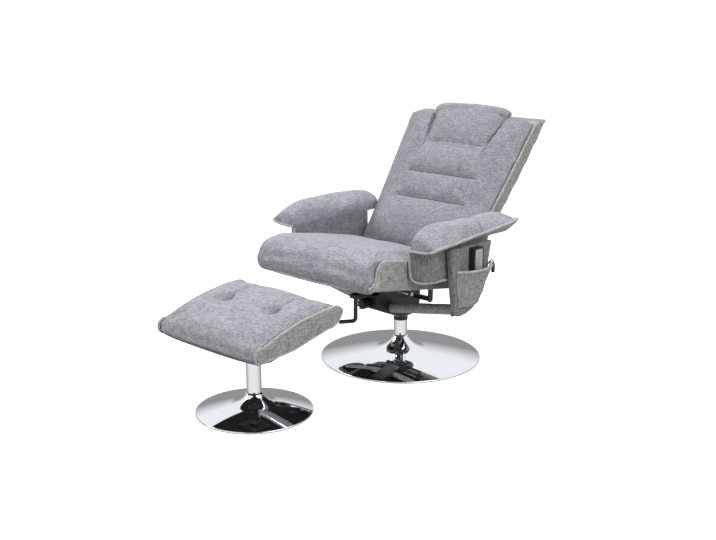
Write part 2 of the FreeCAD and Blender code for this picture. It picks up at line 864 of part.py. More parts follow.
def back_half_width(z):
    share = (z + v.back_bottom_drop) / (v.back_height + v.back_bottom_drop)
    return v.back_low_half_width + (v.back_top_half_width - v.back_low_half_width) * share


def head_half_width(z):
    share = (z - v.back_height + v.head_seam_drop) / (v.head_seam_drop + v.head_rise)
    return v.head_bottom_half_width + (v.head_top_half_width - v.head_bottom_half_width) * share


def back_section(width, crown, channel, lumbar, corner):
    """Side outline of the back cushion at one share of its width."""
    def at(y, z):
        return Vector(width * back_half_width(z), y, z)

    face = v.back_set - v.back_crown * crown
    foot = -v.back_bottom_drop
    top = v.back_height - v.back_corner_radius * corner
    foot_round = v.back_foot_round
    head = top - v.back_foot_round
    ease = SLOPE_45_SHARE
    swell = max(v.channel_depth * channel, v.channel_depth / 9)
    steps = [at(v.back_set, foot), at((v.back_set + face) / 2, foot),
             (at((v.back_set + face) / 2 * ease + face * (1 - ease), foot + foot_round * ease),
              at(face, foot + foot_round))]
    low = foot + foot_round
    for seam, depth in ((v.back_height - v.lumbar_seam_drop, v.lumbar_swell * lumbar),
                        (v.back_height - v.middle_seam_drop, swell),
                        (v.back_height - v.head_seam_drop, swell), (head, swell)):
        steps.append((at(face - depth, (low + seam) / 2), at(face, seam)))
        low = seam
    steps.append((at((v.back_set + face) / 2 * ease + face * (1 - ease), top - foot_round * ease),
                  at((v.back_set + face) / 2, top)))
    steps.append(at(v.back_set, top))
    return path(steps)


def head_section(width, swell):
    """Side outline of the head pillow, from its lower seam over the top edge of the back."""
    def at(y, z):
        return Vector(width * head_half_width(z), y, z)

    seam = v.back_height - v.head_seam_drop
    top = v.back_height + v.head_rise * (HEAD_LOW_SHARE + (1 - HEAD_LOW_SHARE) * swell)
    front = v.back_set - v.back_crown - v.head_swell * swell
    ease = v.head_brow / 4
    brow = top - v.head_brow
    return path([
        at(v.head_root, seam),
        (at(front, (seam + brow) / 2), at(front + ease, brow)),
        (at((front + v.back_set) / 2 - ease, top - ease), at(v.back_set, top)),
        at(v.back_set, v.back_height - v.back_foot_round),
    ])


def head_room():
    """Notch in the back cushion: the pillow's space and all that lies in front of it."""
    seam = v.back_height - v.head_seam_drop
    top = v.back_height + v.head_rise
    front = v.back_set - v.back_crown - v.overrun
    ends = []
    for side, sign in SIDES:
        def at(y, z):
            return Vector(sign * head_half_width(z), y, z)

        ends.append(path([at(front, seam), at(v.head_root, seam),
                          at(v.back_set, v.back_height - v.back_foot_round), at(v.back_set, top),
                          at(front, top)]))
    return lofted(ends, ruled=True)


def back():
    rows = zip(BACK_WIDTH_SHARES, BACK_CROWN_SHARES, BACK_CHANNEL_SHARES, BACK_LUMBAR_SHARES,
               BACK_CORNER_SHARES)
    cushion = lofted([back_section(*row) for row in rows])
    head = lofted([head_section(*row) for row in zip(HEAD_WIDTH_SHARES, HEAD_SWELL_SHARES)])
    cushion = cushion.cut(head_room())
    for side, sign in SIDES:
        start = sign * (v.rail_spread - v.side_gap)
        room = Vector(sign * (v.rail_thickness + 2 * v.side_gap), 0, 0)
        cushion = cushion.cut(cylinder(2 * (v.hinge_ear + v.hinge_relief), Vector(start, 0, 0), room))
    formed("back_cushion", cushion, back_frame)
    formed("head_pillow", head, back_frame)
    foot = -v.back_bottom_drop
    deep = v.back_set + v.casing_depth
    ends = []
    for side, sign in SIDES:
        def at(y, z):
            return Vector(sign * back_half_width(z), y, z)

        ends.append(path([
            at(v.back_set, foot),
            at(v.back_set, v.back_height),
            at(deep - v.casing_swell, v.back_height + v.head_rise),
            (at(deep, v.back_height * 2 / 3), at(deep - v.casing_swell, foot)),
        ]))
    casing = lofted(ends, ruled=True)
    rim = v.back_set + v.board_thickness
    board = block(Vector(-v.back_board_half_width, v.back_set, foot),
                  Vector(v.back_board_half_width, rim, foot + v.back_board_height))
    spots = [(sign * v.back_motor_spread, z) for side, sign in SIDES
             for z in (v.back_motor_foot_height, v.back_motor_foot_height + v.back_motor_pitch)]
    motors = motor_set(spots, v.motor_diameter, v.back_set, rim, False)
    casing = casing.cut(board)
    bars = []
    tail = back_frame.Rotation.inverted().multVec(Vector(0, 0, -v.tail_length))
    lug = v.tail_lug
    for side, sign in SIDES:
        inner = v.rail_spread - v.side_gap / 2 - v.rail_thickness
        start = inner if sign > 0 else -inner - v.rail_thickness
        end = start + v.rail_thickness
        across = Vector(v.rail_thickness, 0, 0)
        bar_back = rim + v.back_bar_depth
        under = foot - v.side_gap - v.back_bar_depth
        upright = block(Vector(start, rim, under), Vector(end, bar_back, v.back_bar_height))
        link = block(Vector(start, 0, under), Vector(end, bar_back, foot - v.side_gap))
        neck = block(Vector(start, 0, under), Vector(end, v.hinge_ear, 0))
        drop = block(Vector(start, tail.y - lug, tail.z), Vector(end, tail.y + lug, foot - v.side_gap))
        eye = cylinder(2 * v.hinge_ear, Vector(start, 0, 0), across)
        boss = cylinder(2 * lug, Vector(start, tail.y, tail.z), across)
        pin_reach = v.rail_thickness + v.guide_thickness + 2 * v.hinge_ear
        pin_start = start - pin_reach + v.rail_thickness if sign > 0 else start
        pin = cylinder(v.tail_pin_diameter, Vector(pin_start, tail.y, tail.z), Vector(pin_reach, 0, 0))
        bar = upright.fuse([link, neck, drop, eye, boss, pin]).removeSplitter()
        bore = cylinder(v.hinge_pin_diameter + 2 * v.pin_clearance, Vector(start - v.overrun, 0, 0),
                        across + Vector(2 * v.overrun, 0, 0))
        bars.append(bar.cut(bore))
        casing = casing.cut(upright)
    formed("back_bars", Part.makeCompound(bars), back_frame)
    formed("back_casing", casing, back_frame)
    formed("back_board", board.cut(motors), back_frame)
    formed("back_motors", Part.makeCompound(motors), back_frame)


def tail_at(tilt):
    """Place of the tail pins, in the side view, at one angle of the seat."""
    pivot = Vector(0, -v.pivot_front, v.pivot_height)
    swung = Rotation(X_AXIS, tilt).multVec(hinge - pivot) + pivot
    return swung + Rotation(X_AXIS, tilt * (1 + v.back_share)).multVec(Vector(0, 0, -v.tail_length))


def guides():
    """Slotted plates on a crossbar, which make the back lean as the seat tilts."""
    first, last = tail_at(-v.tilt_back), tail_at(v.tilt_forward)
    slot = v.tail_pin_diameter + 2 * v.guide_clearance
    rim = slot + 2 * v.guide_wall
    outer = v.rail_spread - v.side_gap / 2 - v.rail_thickness - v.hinge_ear / 2
    bar = Vector(0, v.crossbar_back, v.crossbar_height)
    plates = []
    for side, sign in SIDES:
        start = outer - v.guide_thickness if sign > 0 else -outer
        lift = Vector(start, 0, 0)
        across = Vector(v.guide_thickness, 0, 0)

        def stadium(low, high, width):
            ends = [cylinder(width, lift + point, across) for point in (low, high)]
            flank = (high - low).cross(X_AXIS).normalize() * (width / 2)
            web = prism([lift + low + flank, lift + high + flank, lift + high - flank,
                         lift + low - flank], across)
            return web.fuse(ends).removeSplitter()

        plate = stadium(bar, last, rim).fuse(stadium(first, last, rim)).removeSplitter()
        plate = plate.cut(stadium(first, last, slot))
        plates.append(plate.cut(cylinder(v.crossbar_diameter, lift + bar, across)))
    formed("guide_plates", Part.makeCompound(plates))
    rod("guide_crossbar", d.crossbar_diameter, tie(2 * outer), Y_AXIS, tie(90),
        x=tie(-outer), y=d.crossbar_back, z=d.crossbar_height)


seat()
seat_rails()
back()
guides()


# Arms: upholstered panels with overhanging pads, carried by brackets from the housing.
PAD_LENGTH_SHARES = (0, 0.06, 0.27, 0.67, 0.865, 1)
PAD_HEIGHT_SHARES = (0.46, 0.77, 0.977, 1, 0.862, 0.575)
PAD_INSET_SHARES = (1, 0.3, 0, 0, 0.15, 1)
COVER_SHARES = ((0, 1), (0.108, 0.2), (0.159, 0.033), (0.315, 0), (0.741, 0.178), (0.918, 0.656), (1, 1))


def pad_section(sign, length, height, inset):
    """Cross section of an arm pad: upright inner side, round top, outer hem."""
    low = v.arm_panel_top
    top = low + v.arm_pad_height * height
    hem = low + v.arm_hem_low + (v.arm_hem_high - v.arm_hem_low) * length
    y = (v.arm_pad_front + v.arm_pad_rear) * length - v.arm_pad_front
    ease = v.arm_gap * inset
    inner = v.seat_half_width + v.arm_gap + ease
    panel = v.seat_half_width + v.arm_gap + v.arm_panel_thickness
    outer = panel + v.arm_pad_overhang - ease
    edge = v.arm_pad_height / 2 * height

    def at(x, z):
        return Vector(sign * x, y, z)

    brow = inner + edge
    hem_top = hem + v.side_gap * 8
    return path([
        at(panel, low),
        at(inner, low),
        at(inner, top - edge),
        (at(inner + edge * SLOPE_45_SHARE, top - edge * SLOPE_45_SHARE), at(brow, top)),
        (at((brow + outer) / 2, (top + hem_top) / 2 + v.arm_gap), at(outer, hem_top)),
        at(outer, hem),
    ])


def arms():
    inner = v.seat_half_width + v.arm_gap
    outer = inner + v.arm_panel_thickness
    strap_outer = outer + v.strap_thickness
    cover_outer = strap_outer + v.cover_thickness
    radius = v.arm_corner_radius
    ease = radius * SLOPE_45_SHARE
    front_round = v.arm_front_round
    front_ease = front_round * SLOPE_45_SHARE
    panels, straps, covers, tubes, sleeves, bolts = [], [], [], [], [], []
    for side, sign in SIDES:
        def at(x, y, z):
            return Vector(sign * x, y, z)

        across = Vector(sign * v.arm_panel_thickness, 0, 0)
        panel = prism([
            at(inner, -v.arm_panel_front, v.arm_panel_top),
            at(inner, -v.arm_panel_front, v.arm_panel_bottom + radius),
            (at(inner, ease - v.arm_panel_front, v.arm_panel_bottom + ease),
             at(inner, radius - v.arm_panel_front, v.arm_panel_bottom)),
            at(inner, v.arm_panel_rear, v.arm_panel_bottom),
            at(inner, v.arm_panel_rear, v.arm_panel_top),
        ], across)
        panel = panel.common(prism([
            at(inner, -v.arm_panel_front, v.arm_panel_bottom),
            at(outer - front_round, -v.arm_panel_front, v.arm_panel_bottom),
            (at(outer - front_ease, front_ease - v.arm_panel_front, v.arm_panel_bottom),
             at(outer, front_round - v.arm_panel_front, v.arm_panel_bottom)),
            at(outer, v.arm_panel_rear, v.arm_panel_bottom),
            at(inner, v.arm_panel_rear, v.arm_panel_bottom),
        ], Vector(0, 0, v.arm_panel_top - v.arm_panel_bottom)))
        low = at(outer, -v.strap_front, v.strap_bottom)
        high = at(strap_outer, v.strap_width - v.strap_front, v.strap_top)
        strap = block(Vector(min(low.x, high.x), low.y, low.z), Vector(max(low.x, high.x), high.y, high.z))
        bolt_top = v.strap_top - v.arm_bolt_drop
        for rise in (bolt_top - v.arm_bolt_pitch, bolt_top):
            bolt = cylinder(v.arm_bolt_diameter, at(strap_outer, -v.pivot_front, rise),
                            Vector(-sign * v.arm_bolt_length, 0, 0))
            panel = panel.cut(bolt)
            strap = strap.cut(bolt)
            bolts.append(bolt)
        panels.append(panel)
        straps.append(strap)
        rows = zip(PAD_LENGTH_SHARES, PAD_HEIGHT_SHARES, PAD_INSET_SHARES)
        formed(f"{side}_arm_pad", lofted([pad_section(sign, *row) for row in rows]))
        spots = [at(strap_outer, (v.cover_front + v.cover_rear) * y - v.cover_front,
                    v.cover_bottom + (v.cover_top - v.cover_bottom) * z) for y, z in COVER_SHARES]
        cover = prism([spots[0], spots[1], (spots[2], spots[3]), (spots[4], spots[5]), spots[6]],
                      Vector(sign * v.cover_thickness, 0, 0))
        covers.append(cover)
        start = at(v.housing_width / 2, -v.pivot_front, v.tube_low)
        end = at(outer, -v.pivot_front, v.tube_high)
        run = (end - start).normalize() * v.overrun
        push = end - start + run * 2
        room = block(Vector(min(start.x, end.x), -v.pivot_front - v.strap_width, 0),
                     Vector(max(start.x, end.x), v.strap_width - v.pivot_front, v.strap_top))
        full = cylinder(v.tube_diameter, start - run, push).common(room)
        hollow = cylinder(v.tube_diameter - 2 * v.tube_wall, start - run, push)
        tubes.append(full.cut(hollow))
        jacket = cylinder(v.tube_diameter + 2 * v.sleeve_thickness, start - run, push).common(room)
        sleeves.append(jacket.cut(full))
    for name, pieces in (("arm_panels", panels), ("arm_straps", straps), ("strap_covers", covers),
                         ("support_tubes", tubes), ("tube_sleeves", sleeves), ("arm_bolts", bolts)):
        formed(name, Part.makeCompound(pieces))
    return cover_outer


def pocket(wall_x):
    """Flared cloth pocket on the outer face of the left bracket cover."""
    def section(z, front, rear, depth):
        return path([
            Vector(wall_x, -front, z),
            (Vector(wall_x + depth, (rear - front) / 2, z), Vector(wall_x, rear, z)),
        ])

    wall = v.pocket_wall
    foot = v.pocket_foot_height
    mouth = v.pocket_mouth_height
    outer = lofted([section(foot, v.pocket_foot_front, v.pocket_foot_rear, v.pocket_foot_depth),
                    section(mouth, v.pocket_front, v.pocket_rear, v.pocket_mouth_depth)], ruled=True)
    inner = lofted([section(foot + wall, v.pocket_foot_front - wall, v.pocket_foot_rear - wall,
                            v.pocket_foot_depth - wall),
                    section(mouth + wall, v.pocket_front - wall, v.pocket_rear - wall,
                            v.pocket_mouth_depth - wall)], ruled=True)
    formed("side_pocket", outer.cut(inner))


def handset(wall_x):
    """Generic remote handset with its face, four keys and trailing lead."""
    low_y = -v.handset_front
    high_y = low_y + v.handset_width
    low_z = v.handset_foot
    high_z = low_z + v.handset_length
    face_x = wall_x + v.handset_thickness

    def rounded(x, inset, push):
        radius = v.handset_corner - inset / 2
        ease = radius * SLOPE_45_SHARE
        y0, y1, z0, z1 = low_y + inset, high_y - inset, low_z + inset, high_z - inset
        return prism([
            Vector(x, y0 + radius, z0),
            Vector(x, y1 - radius, z0),
            (Vector(x, y1 - ease, z0 + ease), Vector(x, y1, z0 + radius)),
            Vector(x, y1, z1 - radius),
            (Vector(x, y1 - ease, z1 - ease), Vector(x, y1 - radius, z1)),
            Vector(x, y0 + radius, z1),
            (Vector(x, y0 + ease, z1 - ease), Vector(x, y0, z1 - radius)),
            Vector(x, y0, z0 + radius),
            (Vector(x, y0 + ease, z0 + ease), Vector(x, y0 + radius, z0)),
        ], Vector(push, 0, 0))

    case = rounded(wall_x, 0, v.handset_thickness)
    face = rounded(face_x - v.face_thickness, v.face_inset, v.face_thickness)
    case = case.cut(face)
    middle = (low_y + high_y) / 2
    for index in range(4):
        key_z = high_z - v.key_top_margin - index * v.key_pitch
        half = Vector(0, v.key_width / 2, v.key_height / 2)
        top = Vector(face_x + v.key_proud, middle, key_z)
        key = block(top - half - Vector(v.key_thickness, 0, 0), top + half)
        room = Vector(0, v.key_gap, v.key_gap)
        sink = v.key_thickness + v.key_travel + v.key_gap
        well = block(top - half - room - Vector(sink, 0, 0), top + half + room)
        case = case.cut(well)
        face = face.cut(well)
        formed(f"handset_key_{index + 1}", key)
    formed("handset_case", case)
    formed("handset_face", face)
    plug_y = v.plug_back
    mouth = v.pocket_mouth_height
    near = wall_x + v.lead_side
    start = Vector(wall_x + v.handset_thickness / 2, middle, low_z)
    loop = low_z - v.lead_drop * 2 / 3
    points = [
        start,
        start + Vector(0, v.lead_diameter, -v.lead_drop / 2),
        Vector((near + start.x) / 2, middle + v.lead_loop / 4, loop),
        Vector(near, middle + v.lead_loop / 2, loop + v.lead_drop / 3),
        Vector(near, middle + v.lead_loop * 5 / 6, (loop + mouth) / 2),
        Vector(near, plug_y - v.lead_drop, mouth),
        Vector(near, plug_y - v.lead_drop / 2, mouth + v.lead_crest),
        Vector(near, plug_y - v.lead_drop / 6, mouth + v.lead_crest * 2 / 3),
        Vector(near, plug_y, mouth),
    ]
    curve = Part.BSplineCurve()
    curve.interpolate(points)
    formed("handset_lead", swept(v.lead_diameter, Part.Wire([curve.toShape()])))
    formed("lead_plug", cylinder(v.plug_diameter, points[-1], Vector(0, 0, -v.plug_length)))


cover_face = arms()
pocket(cover_face)
handset(cover_face)


# Footstool top: rolled and crowned cushion with two tufts, side panels, board and plate.
STOOL_WIDTH_SHARES = (-1, -0.9, -0.5, 0, 0.5, 0.9, 1)
STOOL_CROWN_SHARES = (0, 0.5, 0.92, 1, 0.92, 0.5, 0)


def stool_section(x, crown, bow):
    """Side outline of the footstool top, rolled at the front and the rear."""
    top = v.stool_side_height + crown
    front = bow - v.stool_front_reach
    rear = v.stool_rear_reach
    lift = v.stool_front_lift
    drop = v.stool_edge_drop
    run = v.stool_edge_run

    def at(y, z):
        return Vector(x, y, z)

    return path([
        at(rear - run * 2, 0),
        at(-v.stool_edge_run, 0),
        at(front + run / 3, lift),
        (at(front, (lift + top) / 2), at(front + run, top - drop)),
        (at((front + rear) / 2, top + drop), at(rear - run, top - drop)),
        (at(rear - run / 4, top * 3 / 4 - drop / 2), at(rear, top / 2)),
        (at(rear - run / 2, top / 8), at(rear - run * 2, 0)),
    ])


def footstool():
    frame = Placement(Vector(0, -v.stool_distance, v.stool_seat_height), Rotation(X_AXIS, v.stool_tilt))
    half = v.stool_half_width
    wires = []
    for width, crown in zip(STOOL_WIDTH_SHARES, STOOL_CROWN_SHARES):
        wires.append(stool_section(width * half, v.stool_crown * crown, v.stool_front_bow * (1 - crown)))
    cushion = lofted(wires)
    panels = []
    for side, sign in SIDES:
        outer = sign * half
        panel = Part.Face(stool_section(outer, 0, v.stool_front_bow)).extrude(
            Vector(-sign * v.stool_side_thickness, 0, 0))
        panels.append(panel)
        cushion = cushion.cut(panel)
        crest = v.stool_side_height + v.stool_crown + v.stool_edge_drop
        tuft = Part.makeSphere(v.tuft_radius, Vector(sign * v.tuft_spread, 0,
                                                     crest + v.tuft_radius - v.tuft_depth))
        cushion = cushion.cut(tuft)
    formed("stool_sides", Part.makeCompound(panels), frame)
    board_half = half - v.stool_board_inset
    board = block(Vector(-board_half, -v.stool_board_front, 0),
                  Vector(board_half, v.stool_board_rear, v.board_thickness))
    lining = block(Vector(-board_half, -v.stool_board_front, 0),
                   Vector(board_half, v.stool_board_rear, v.lining_thickness))
    formed("stool_cushion", cushion.cut(board), frame)
    board = board.cut(lining)
    plate_half = v.stool_plate_side / 2
    plate = block(Vector(-plate_half, -plate_half, -v.stool_plate_thickness),
                  Vector(plate_half, plate_half, 0))
    screws = [cylinder(v.screw_diameter, Vector(x * v.screw_pitch / 2, y * v.screw_pitch / 2,
                                                -v.stool_plate_thickness), Vector(0, 0, v.screw_length))
              for x in (-1, 1) for y in (-1, 1)]
    formed("stool_board", board.cut(screws), frame)
    formed("stool_lining", lining.cut(screws), frame)
    formed("stool_screws", Part.makeCompound(screws), frame)
    plate = plate.cut(screws)
    plate.Placement = frame
    foot = Vector(0, -v.stool_distance, v.stool_socket_foot)
    socket = cylinder(v.stool_socket_diameter, foot, Vector(0, 0, v.stool_seat_height - foot.z))
    above = block(Vector(-plate_half, -plate_half, -v.stool_plate_thickness),
                  Vector(plate_half, plate_half, plate_half))
    above.Placement = frame
    tube = cylinder(v.column_diameter, foot, Vector(0, 0, v.stool_column_top - foot.z))
    formed("stool_top_plate", plate.fuse(socket.cut(above)).cut(tube))


footstool()

# Check every object and write each piece to its own file.
BARS = ("tilt_pin", "tension_screw", "guide_crossbar")
KINDS = ("PartDesign::Body", "Part::Cut", "Part::Feature")
doc.recompute()
os.makedirs("parts", exist_ok=True)
for piece in doc.Objects:
    if "Invalid" in piece.State or "Error" in piece.State:
        raise RuntimeError(f"{piece.Label} did not recompute: {piece.State}")
    if piece.TypeId not in KINDS and piece.Name not in BARS:
        continue
    if piece.Shape.isNull() or not piece.Shape.isValid() or not piece.Shape.Solids:
        raise RuntimeError(f"{piece.Label} has no valid solid")
    piece.Shape.exportStep(f"parts/{piece.Label}.step")
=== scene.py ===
# %% [markdown]
# # A swivel recliner and its footstool
# The frame comes from CAD: chrome bases, tilt mechanism, boards, brackets and plain cushion solids.
# This lesson dresses it. Cushions are swollen by a cloth simulation, panels get soft edges, seams get
# piping, and every surface gets a procedural material.

# %% Load the frame
import json
import math

import bmesh
import bpy
import numpy as np
from mathutils import Matrix, Vector, noise
from mathutils.bvhtree import BVHTree


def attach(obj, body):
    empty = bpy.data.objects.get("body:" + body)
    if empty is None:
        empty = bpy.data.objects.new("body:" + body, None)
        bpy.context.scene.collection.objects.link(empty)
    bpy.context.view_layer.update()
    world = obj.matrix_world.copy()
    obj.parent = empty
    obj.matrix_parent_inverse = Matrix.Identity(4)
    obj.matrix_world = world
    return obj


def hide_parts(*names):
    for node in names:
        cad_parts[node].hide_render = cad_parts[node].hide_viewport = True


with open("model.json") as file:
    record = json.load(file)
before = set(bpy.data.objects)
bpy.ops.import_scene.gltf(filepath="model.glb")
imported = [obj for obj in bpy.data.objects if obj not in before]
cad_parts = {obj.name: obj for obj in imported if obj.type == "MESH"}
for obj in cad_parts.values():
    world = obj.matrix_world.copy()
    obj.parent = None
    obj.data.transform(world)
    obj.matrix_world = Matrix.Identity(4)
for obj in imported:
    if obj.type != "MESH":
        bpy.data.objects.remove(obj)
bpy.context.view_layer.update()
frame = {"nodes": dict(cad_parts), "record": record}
nodes = frame["nodes"]

# %% [markdown]
# ## Camera
# The picture was taken from the chair's front left, from above the back's upper edge. A camera could be
# aimed with a tracking constraint, but fixed angles are easier to match to a picture. The lens is worked
# out from the focal length in pixels, so that the view suits a picture 716 pixels wide.

# %% Camera
PICTURE_WIDTH = 716
FOCAL_PIXELS = 1050
CAMERA_PLACE = (2.435, -2.89, 1.335)
CAMERA_ANGLES = (math.radians(90 - 14.82), 0, math.radians(42.55))
camera_data = bpy.data.cameras.new("camera")
camera_data.sensor_width = 36
camera_data.lens = FOCAL_PIXELS / PICTURE_WIDTH * camera_data.sensor_width
camera = bpy.data.objects.new("camera", camera_data)
camera.location = CAMERA_PLACE
camera.rotation_euler = CAMERA_ANGLES
bpy.context.scene.collection.objects.link(camera)
bpy.context.scene.camera = camera
print("lens", round(camera_data.lens, 2), "mm")

# %% [markdown]
# ## Materials
# Every surface of a chair has some grain: yarn, polish or powder coat. Image textures could show it, but
# they need unwrapped faces. Noise on Object coordinates needs none, and it stays put on a piece at every
# pose. A few small helpers build the node trees.

# %% Material helpers
def new_material(name, colour, roughness, metallic=0.0):
    material = bpy.data.materials.new(name)
    material.use_nodes = True
    shader = material.node_tree.nodes["Principled BSDF"]
    shader.inputs["Base Color"].default_value = (*colour, 1)
    shader.inputs["Roughness"].default_value = roughness
    shader.inputs["Metallic"].default_value = metallic
    return material, material.node_tree, shader


def speckle(tree, scale, detail, stretch=(1, 1, 1)):
    """Noise on Object coordinates, stretched along an axis where the yarn runs."""
    coordinates = tree.nodes.new("ShaderNodeTexCoord")
    mapping = tree.nodes.new("ShaderNodeMapping")
    mapping.inputs["Scale"].default_value = stretch
    grain = tree.nodes.new("ShaderNodeTexNoise")
    grain.inputs["Scale"].default_value = scale
    grain.inputs["Detail"].default_value = detail
    tree.links.new(coordinates.outputs["Object"], mapping.inputs["Vector"])
    tree.links.new(mapping.outputs["Vector"], grain.inputs["Vector"])
    return grain.outputs["Fac"]


def ramp(tree, source, stops):
    """Colour ramp with one stop per (place, colour)."""
    node = tree.nodes.new("ShaderNodeValToRGB")
    tree.links.new(source, node.inputs["Fac"])
    band = node.color_ramp
    while len(band.elements) < len(stops):
        band.elements.new(0.5)
    for element, (place, colour) in zip(band.elements, stops):
        element.position = place
        element.color = (*colour, 1)
    return node.outputs["Color"]


def blend_colour(tree, kind, share, first, second):
    node = tree.nodes.new("ShaderNodeMix")
    node.data_type = "RGBA"
    node.blend_type = kind
    node.inputs[0].default_value = share
    tree.links.new(first, node.inputs[6])
    tree.links.new(second, node.inputs[7])
    return node.outputs[2]


def add_bump(tree, shader, height, strength, distance):
    node = tree.nodes.new("ShaderNodeBump")
    node.inputs["Strength"].default_value = strength
    node.inputs["Distance"].default_value = distance
    tree.links.new(height, node.inputs["Height"])
    tree.links.new(node.outputs["Normal"], shader.inputs["Normal"])


# %% [markdown]
# ## Chenille cloth
# The cover is a soft chenille with short pale and dark yarns, so that it looks hatched from a step
# away. Yarns could be modelled as hair, but they are finer than a pixel here. Three noises, each drawn
# out along one axis, give the yarns, and a coarse one the uneven pile.

# %% Cloth
YARN_SCALE = 270
YARN_DETAIL = 3
YARN_RUNS = ((0.16, 1, 1), (1, 0.16, 1), (1, 1, 0.16))
PILE_SCALE = 30
PILE_DETAIL = 5
PILE_STOPS = ((0.32, (0.82, 0.82, 0.83)), (0.68, (0.98, 0.98, 0.98)))


def chenille(name, dark, middle, pale):
    material, tree, shader = new_material(name, middle, 0.9)
    shader.inputs["Sheen Weight"].default_value = 0.12
    shader.inputs["Sheen Roughness"].default_value = 0.5
    shader.inputs["Specular IOR Level"].default_value = 0.15
    yarns = [speckle(tree, YARN_SCALE, YARN_DETAIL, run) for run in YARN_RUNS]
    stops = ((0.37, dark), (0.5, middle), (0.63, pale))
    hatched = blend_colour(tree, "MIX", 0.5, ramp(tree, yarns[0], stops), ramp(tree, yarns[1], stops))
    woven = blend_colour(tree, "MIX", 0.34, hatched, ramp(tree, yarns[2], stops))
    shade = ramp(tree, speckle(tree, PILE_SCALE, PILE_DETAIL), PILE_STOPS)
    tree.links.new(blend_colour(tree, "MULTIPLY", 1.0, woven, shade), shader.inputs["Base Color"])
    add_bump(tree, shader, yarns[0], 0.3, 0.0007)
    return material


SEAT_TINTS = ((0.21, 0.216, 0.238), (0.36, 0.37, 0.405), (0.58, 0.59, 0.628))
SIDE_TINTS = ((0.16, 0.16, 0.152), (0.36, 0.358, 0.345), (0.62, 0.61, 0.59))
# the piping is the panels' own fabric painted lighter: a painted highlight along the round cord
PIPING_LIT_TINTS = ((0.25, 0.25, 0.25), (0.5, 0.5, 0.495), (0.75, 0.75, 0.74))


def shaded_tints(tints, share):
    """The same cloth made darker by a share: painted shade for parts that lie in shadow."""
    return [tuple(channel * share for channel in tint) for tint in tints]


seat_cloth = chenille("seat_cloth", *SEAT_TINTS)
# copies darkened by a share are painted shade on parts that lie in shadow
back_shaded_cloth = chenille("back_shaded_cloth", *shaded_tints(SEAT_TINTS, 0.8))
arm_shaded_cloth = chenille("arm_shaded_cloth", *shaded_tints(SEAT_TINTS, 0.66))
side_cloth = chenille("side_cloth", *SIDE_TINTS)
bracket_shaded_cloth = chenille("bracket_shaded_cloth", *shaded_tints(SIDE_TINTS, 0.7))
piping_lit_cloth = chenille("piping_lit_cloth", *PIPING_LIT_TINTS)
hem_shaded_cloth = chenille("hem_shaded_cloth", *shaded_tints(PIPING_LIT_TINTS, 0.3))
print("each cloth has", len(seat_cloth.node_tree.nodes), "shader nodes")

# %% [markdown]
# ## Chrome, black steel, plastics and boards
# Chrome is almost a mirror, with a faint unevenness from polishing. Black steel is powder coated, which
# leaves a fine orange-peel. The boards under the covers are plywood. Each could have a node tree of its
# own, but they differ only in colour, gloss and grain, so one function makes them all. CAD nodes that
# keep their mesh get a finish by name, or else by the slot in the part's record.

# %% Hard finishes
def hard_finish(name, colour, roughness, metallic, grain_scale, grain_strength, tint):
    material, tree, shader = new_material(name, colour, roughness, metallic)
    grain = speckle(tree, grain_scale, 3)
    pale = tuple(min(1, c * (1 + tint)) for c in colour)
    dim = tuple(c * (1 - tint) for c in colour)
    tree.links.new(ramp(tree, grain, ((0.35, dim), (0.65, pale))), shader.inputs["Base Color"])
    add_bump(tree, shader, grain, grain_strength, 0.0004)
    return material


chrome = hard_finish("chrome", (0.88, 0.89, 0.91), 0.035, 1, 6, 0.02, 0.02)
bright_steel = hard_finish("bright_steel", (0.62, 0.62, 0.63), 0.28, 1, 240, 0.12, 0.06)
black_steel = hard_finish("black_steel", (0.018, 0.018, 0.02), 0.42, 0, 420, 0.25, 0.25)
black_plastic = hard_finish("black_plastic", (0.015, 0.015, 0.016), 0.5, 0, 600, 0.2, 0.2)
key_plastic = hard_finish("key_plastic", (0.4, 0.41, 0.43), 0.5, 0, 600, 0.15, 0.1)
face_plastic = hard_finish("face_plastic", (0.34, 0.4, 0.38), 0.12, 0, 12, 0.03, 0.25)
white_plastic = hard_finish("white_plastic", (0.8, 0.8, 0.77), 0.5, 0, 300, 0.1, 0.05)
black_rubber = hard_finish("black_rubber", (0.016, 0.016, 0.016), 0.75, 0, 500, 0.3, 0.2)
plywood = hard_finish("plywood", (0.17, 0.135, 0.1), 0.7, 0, 60, 0.4, 0.25)
lining_cloth = hard_finish("lining_cloth", (0.012, 0.012, 0.013), 0.95, 0, 900, 0.6, 0.35)

NODE_FINISHES = {
    "chair_column_tube": chrome,
    "stool_column_tube": chrome,
    "column_collar": black_plastic,
    "thrust_washer": white_plastic,
    "handset_face": face_plastic,
}
for slot_name, finish in (("zinc_steel", bright_steel), ("black_steel", black_steel),
                          ("black_plastic", black_plastic), ("lead_rubber", black_rubber),
                          ("key_plastic", key_plastic), ("board_wood", plywood),
                          ("lining_cloth", lining_cloth)):
    for subpart in frame["record"]["subparts"]:
        if subpart["material_slot"] == slot_name:
            NODE_FINISHES.setdefault(subpart["node"], finish)
for node_name, finish in NODE_FINISHES.items():
    mesh = nodes[node_name].data
    mesh.materials.clear()
    mesh.materials.append(finish)
print(len(NODE_FINISHES), "CAD nodes have a finish")

# %% [markdown]
# ## Handset lead
# A thin limp lead leaves the foot of the handset, loops in the pocket, comes over its rear edge and
# ends in a small plug that hangs free. A chain of short cylinders would show its corners, so the lead is
# one smooth NURBS curve on the CAD route. The plug is round, so its outline is spun.

# %% Handset lead
LEAD_ROUTE = [
    (0.386, -0.062, 0.368), (0.386, -0.058, 0.353), (0.3815, -0.0465, 0.348), (0.377, -0.031, 0.358),
    (0.377, -0.0103, 0.386), (0.377, 0.022, 0.424), (0.377, 0.037, 0.434), (0.377, 0.047, 0.4307),
    (0.377, 0.052, 0.424),
]
LEAD_DIAMETER = 0.004


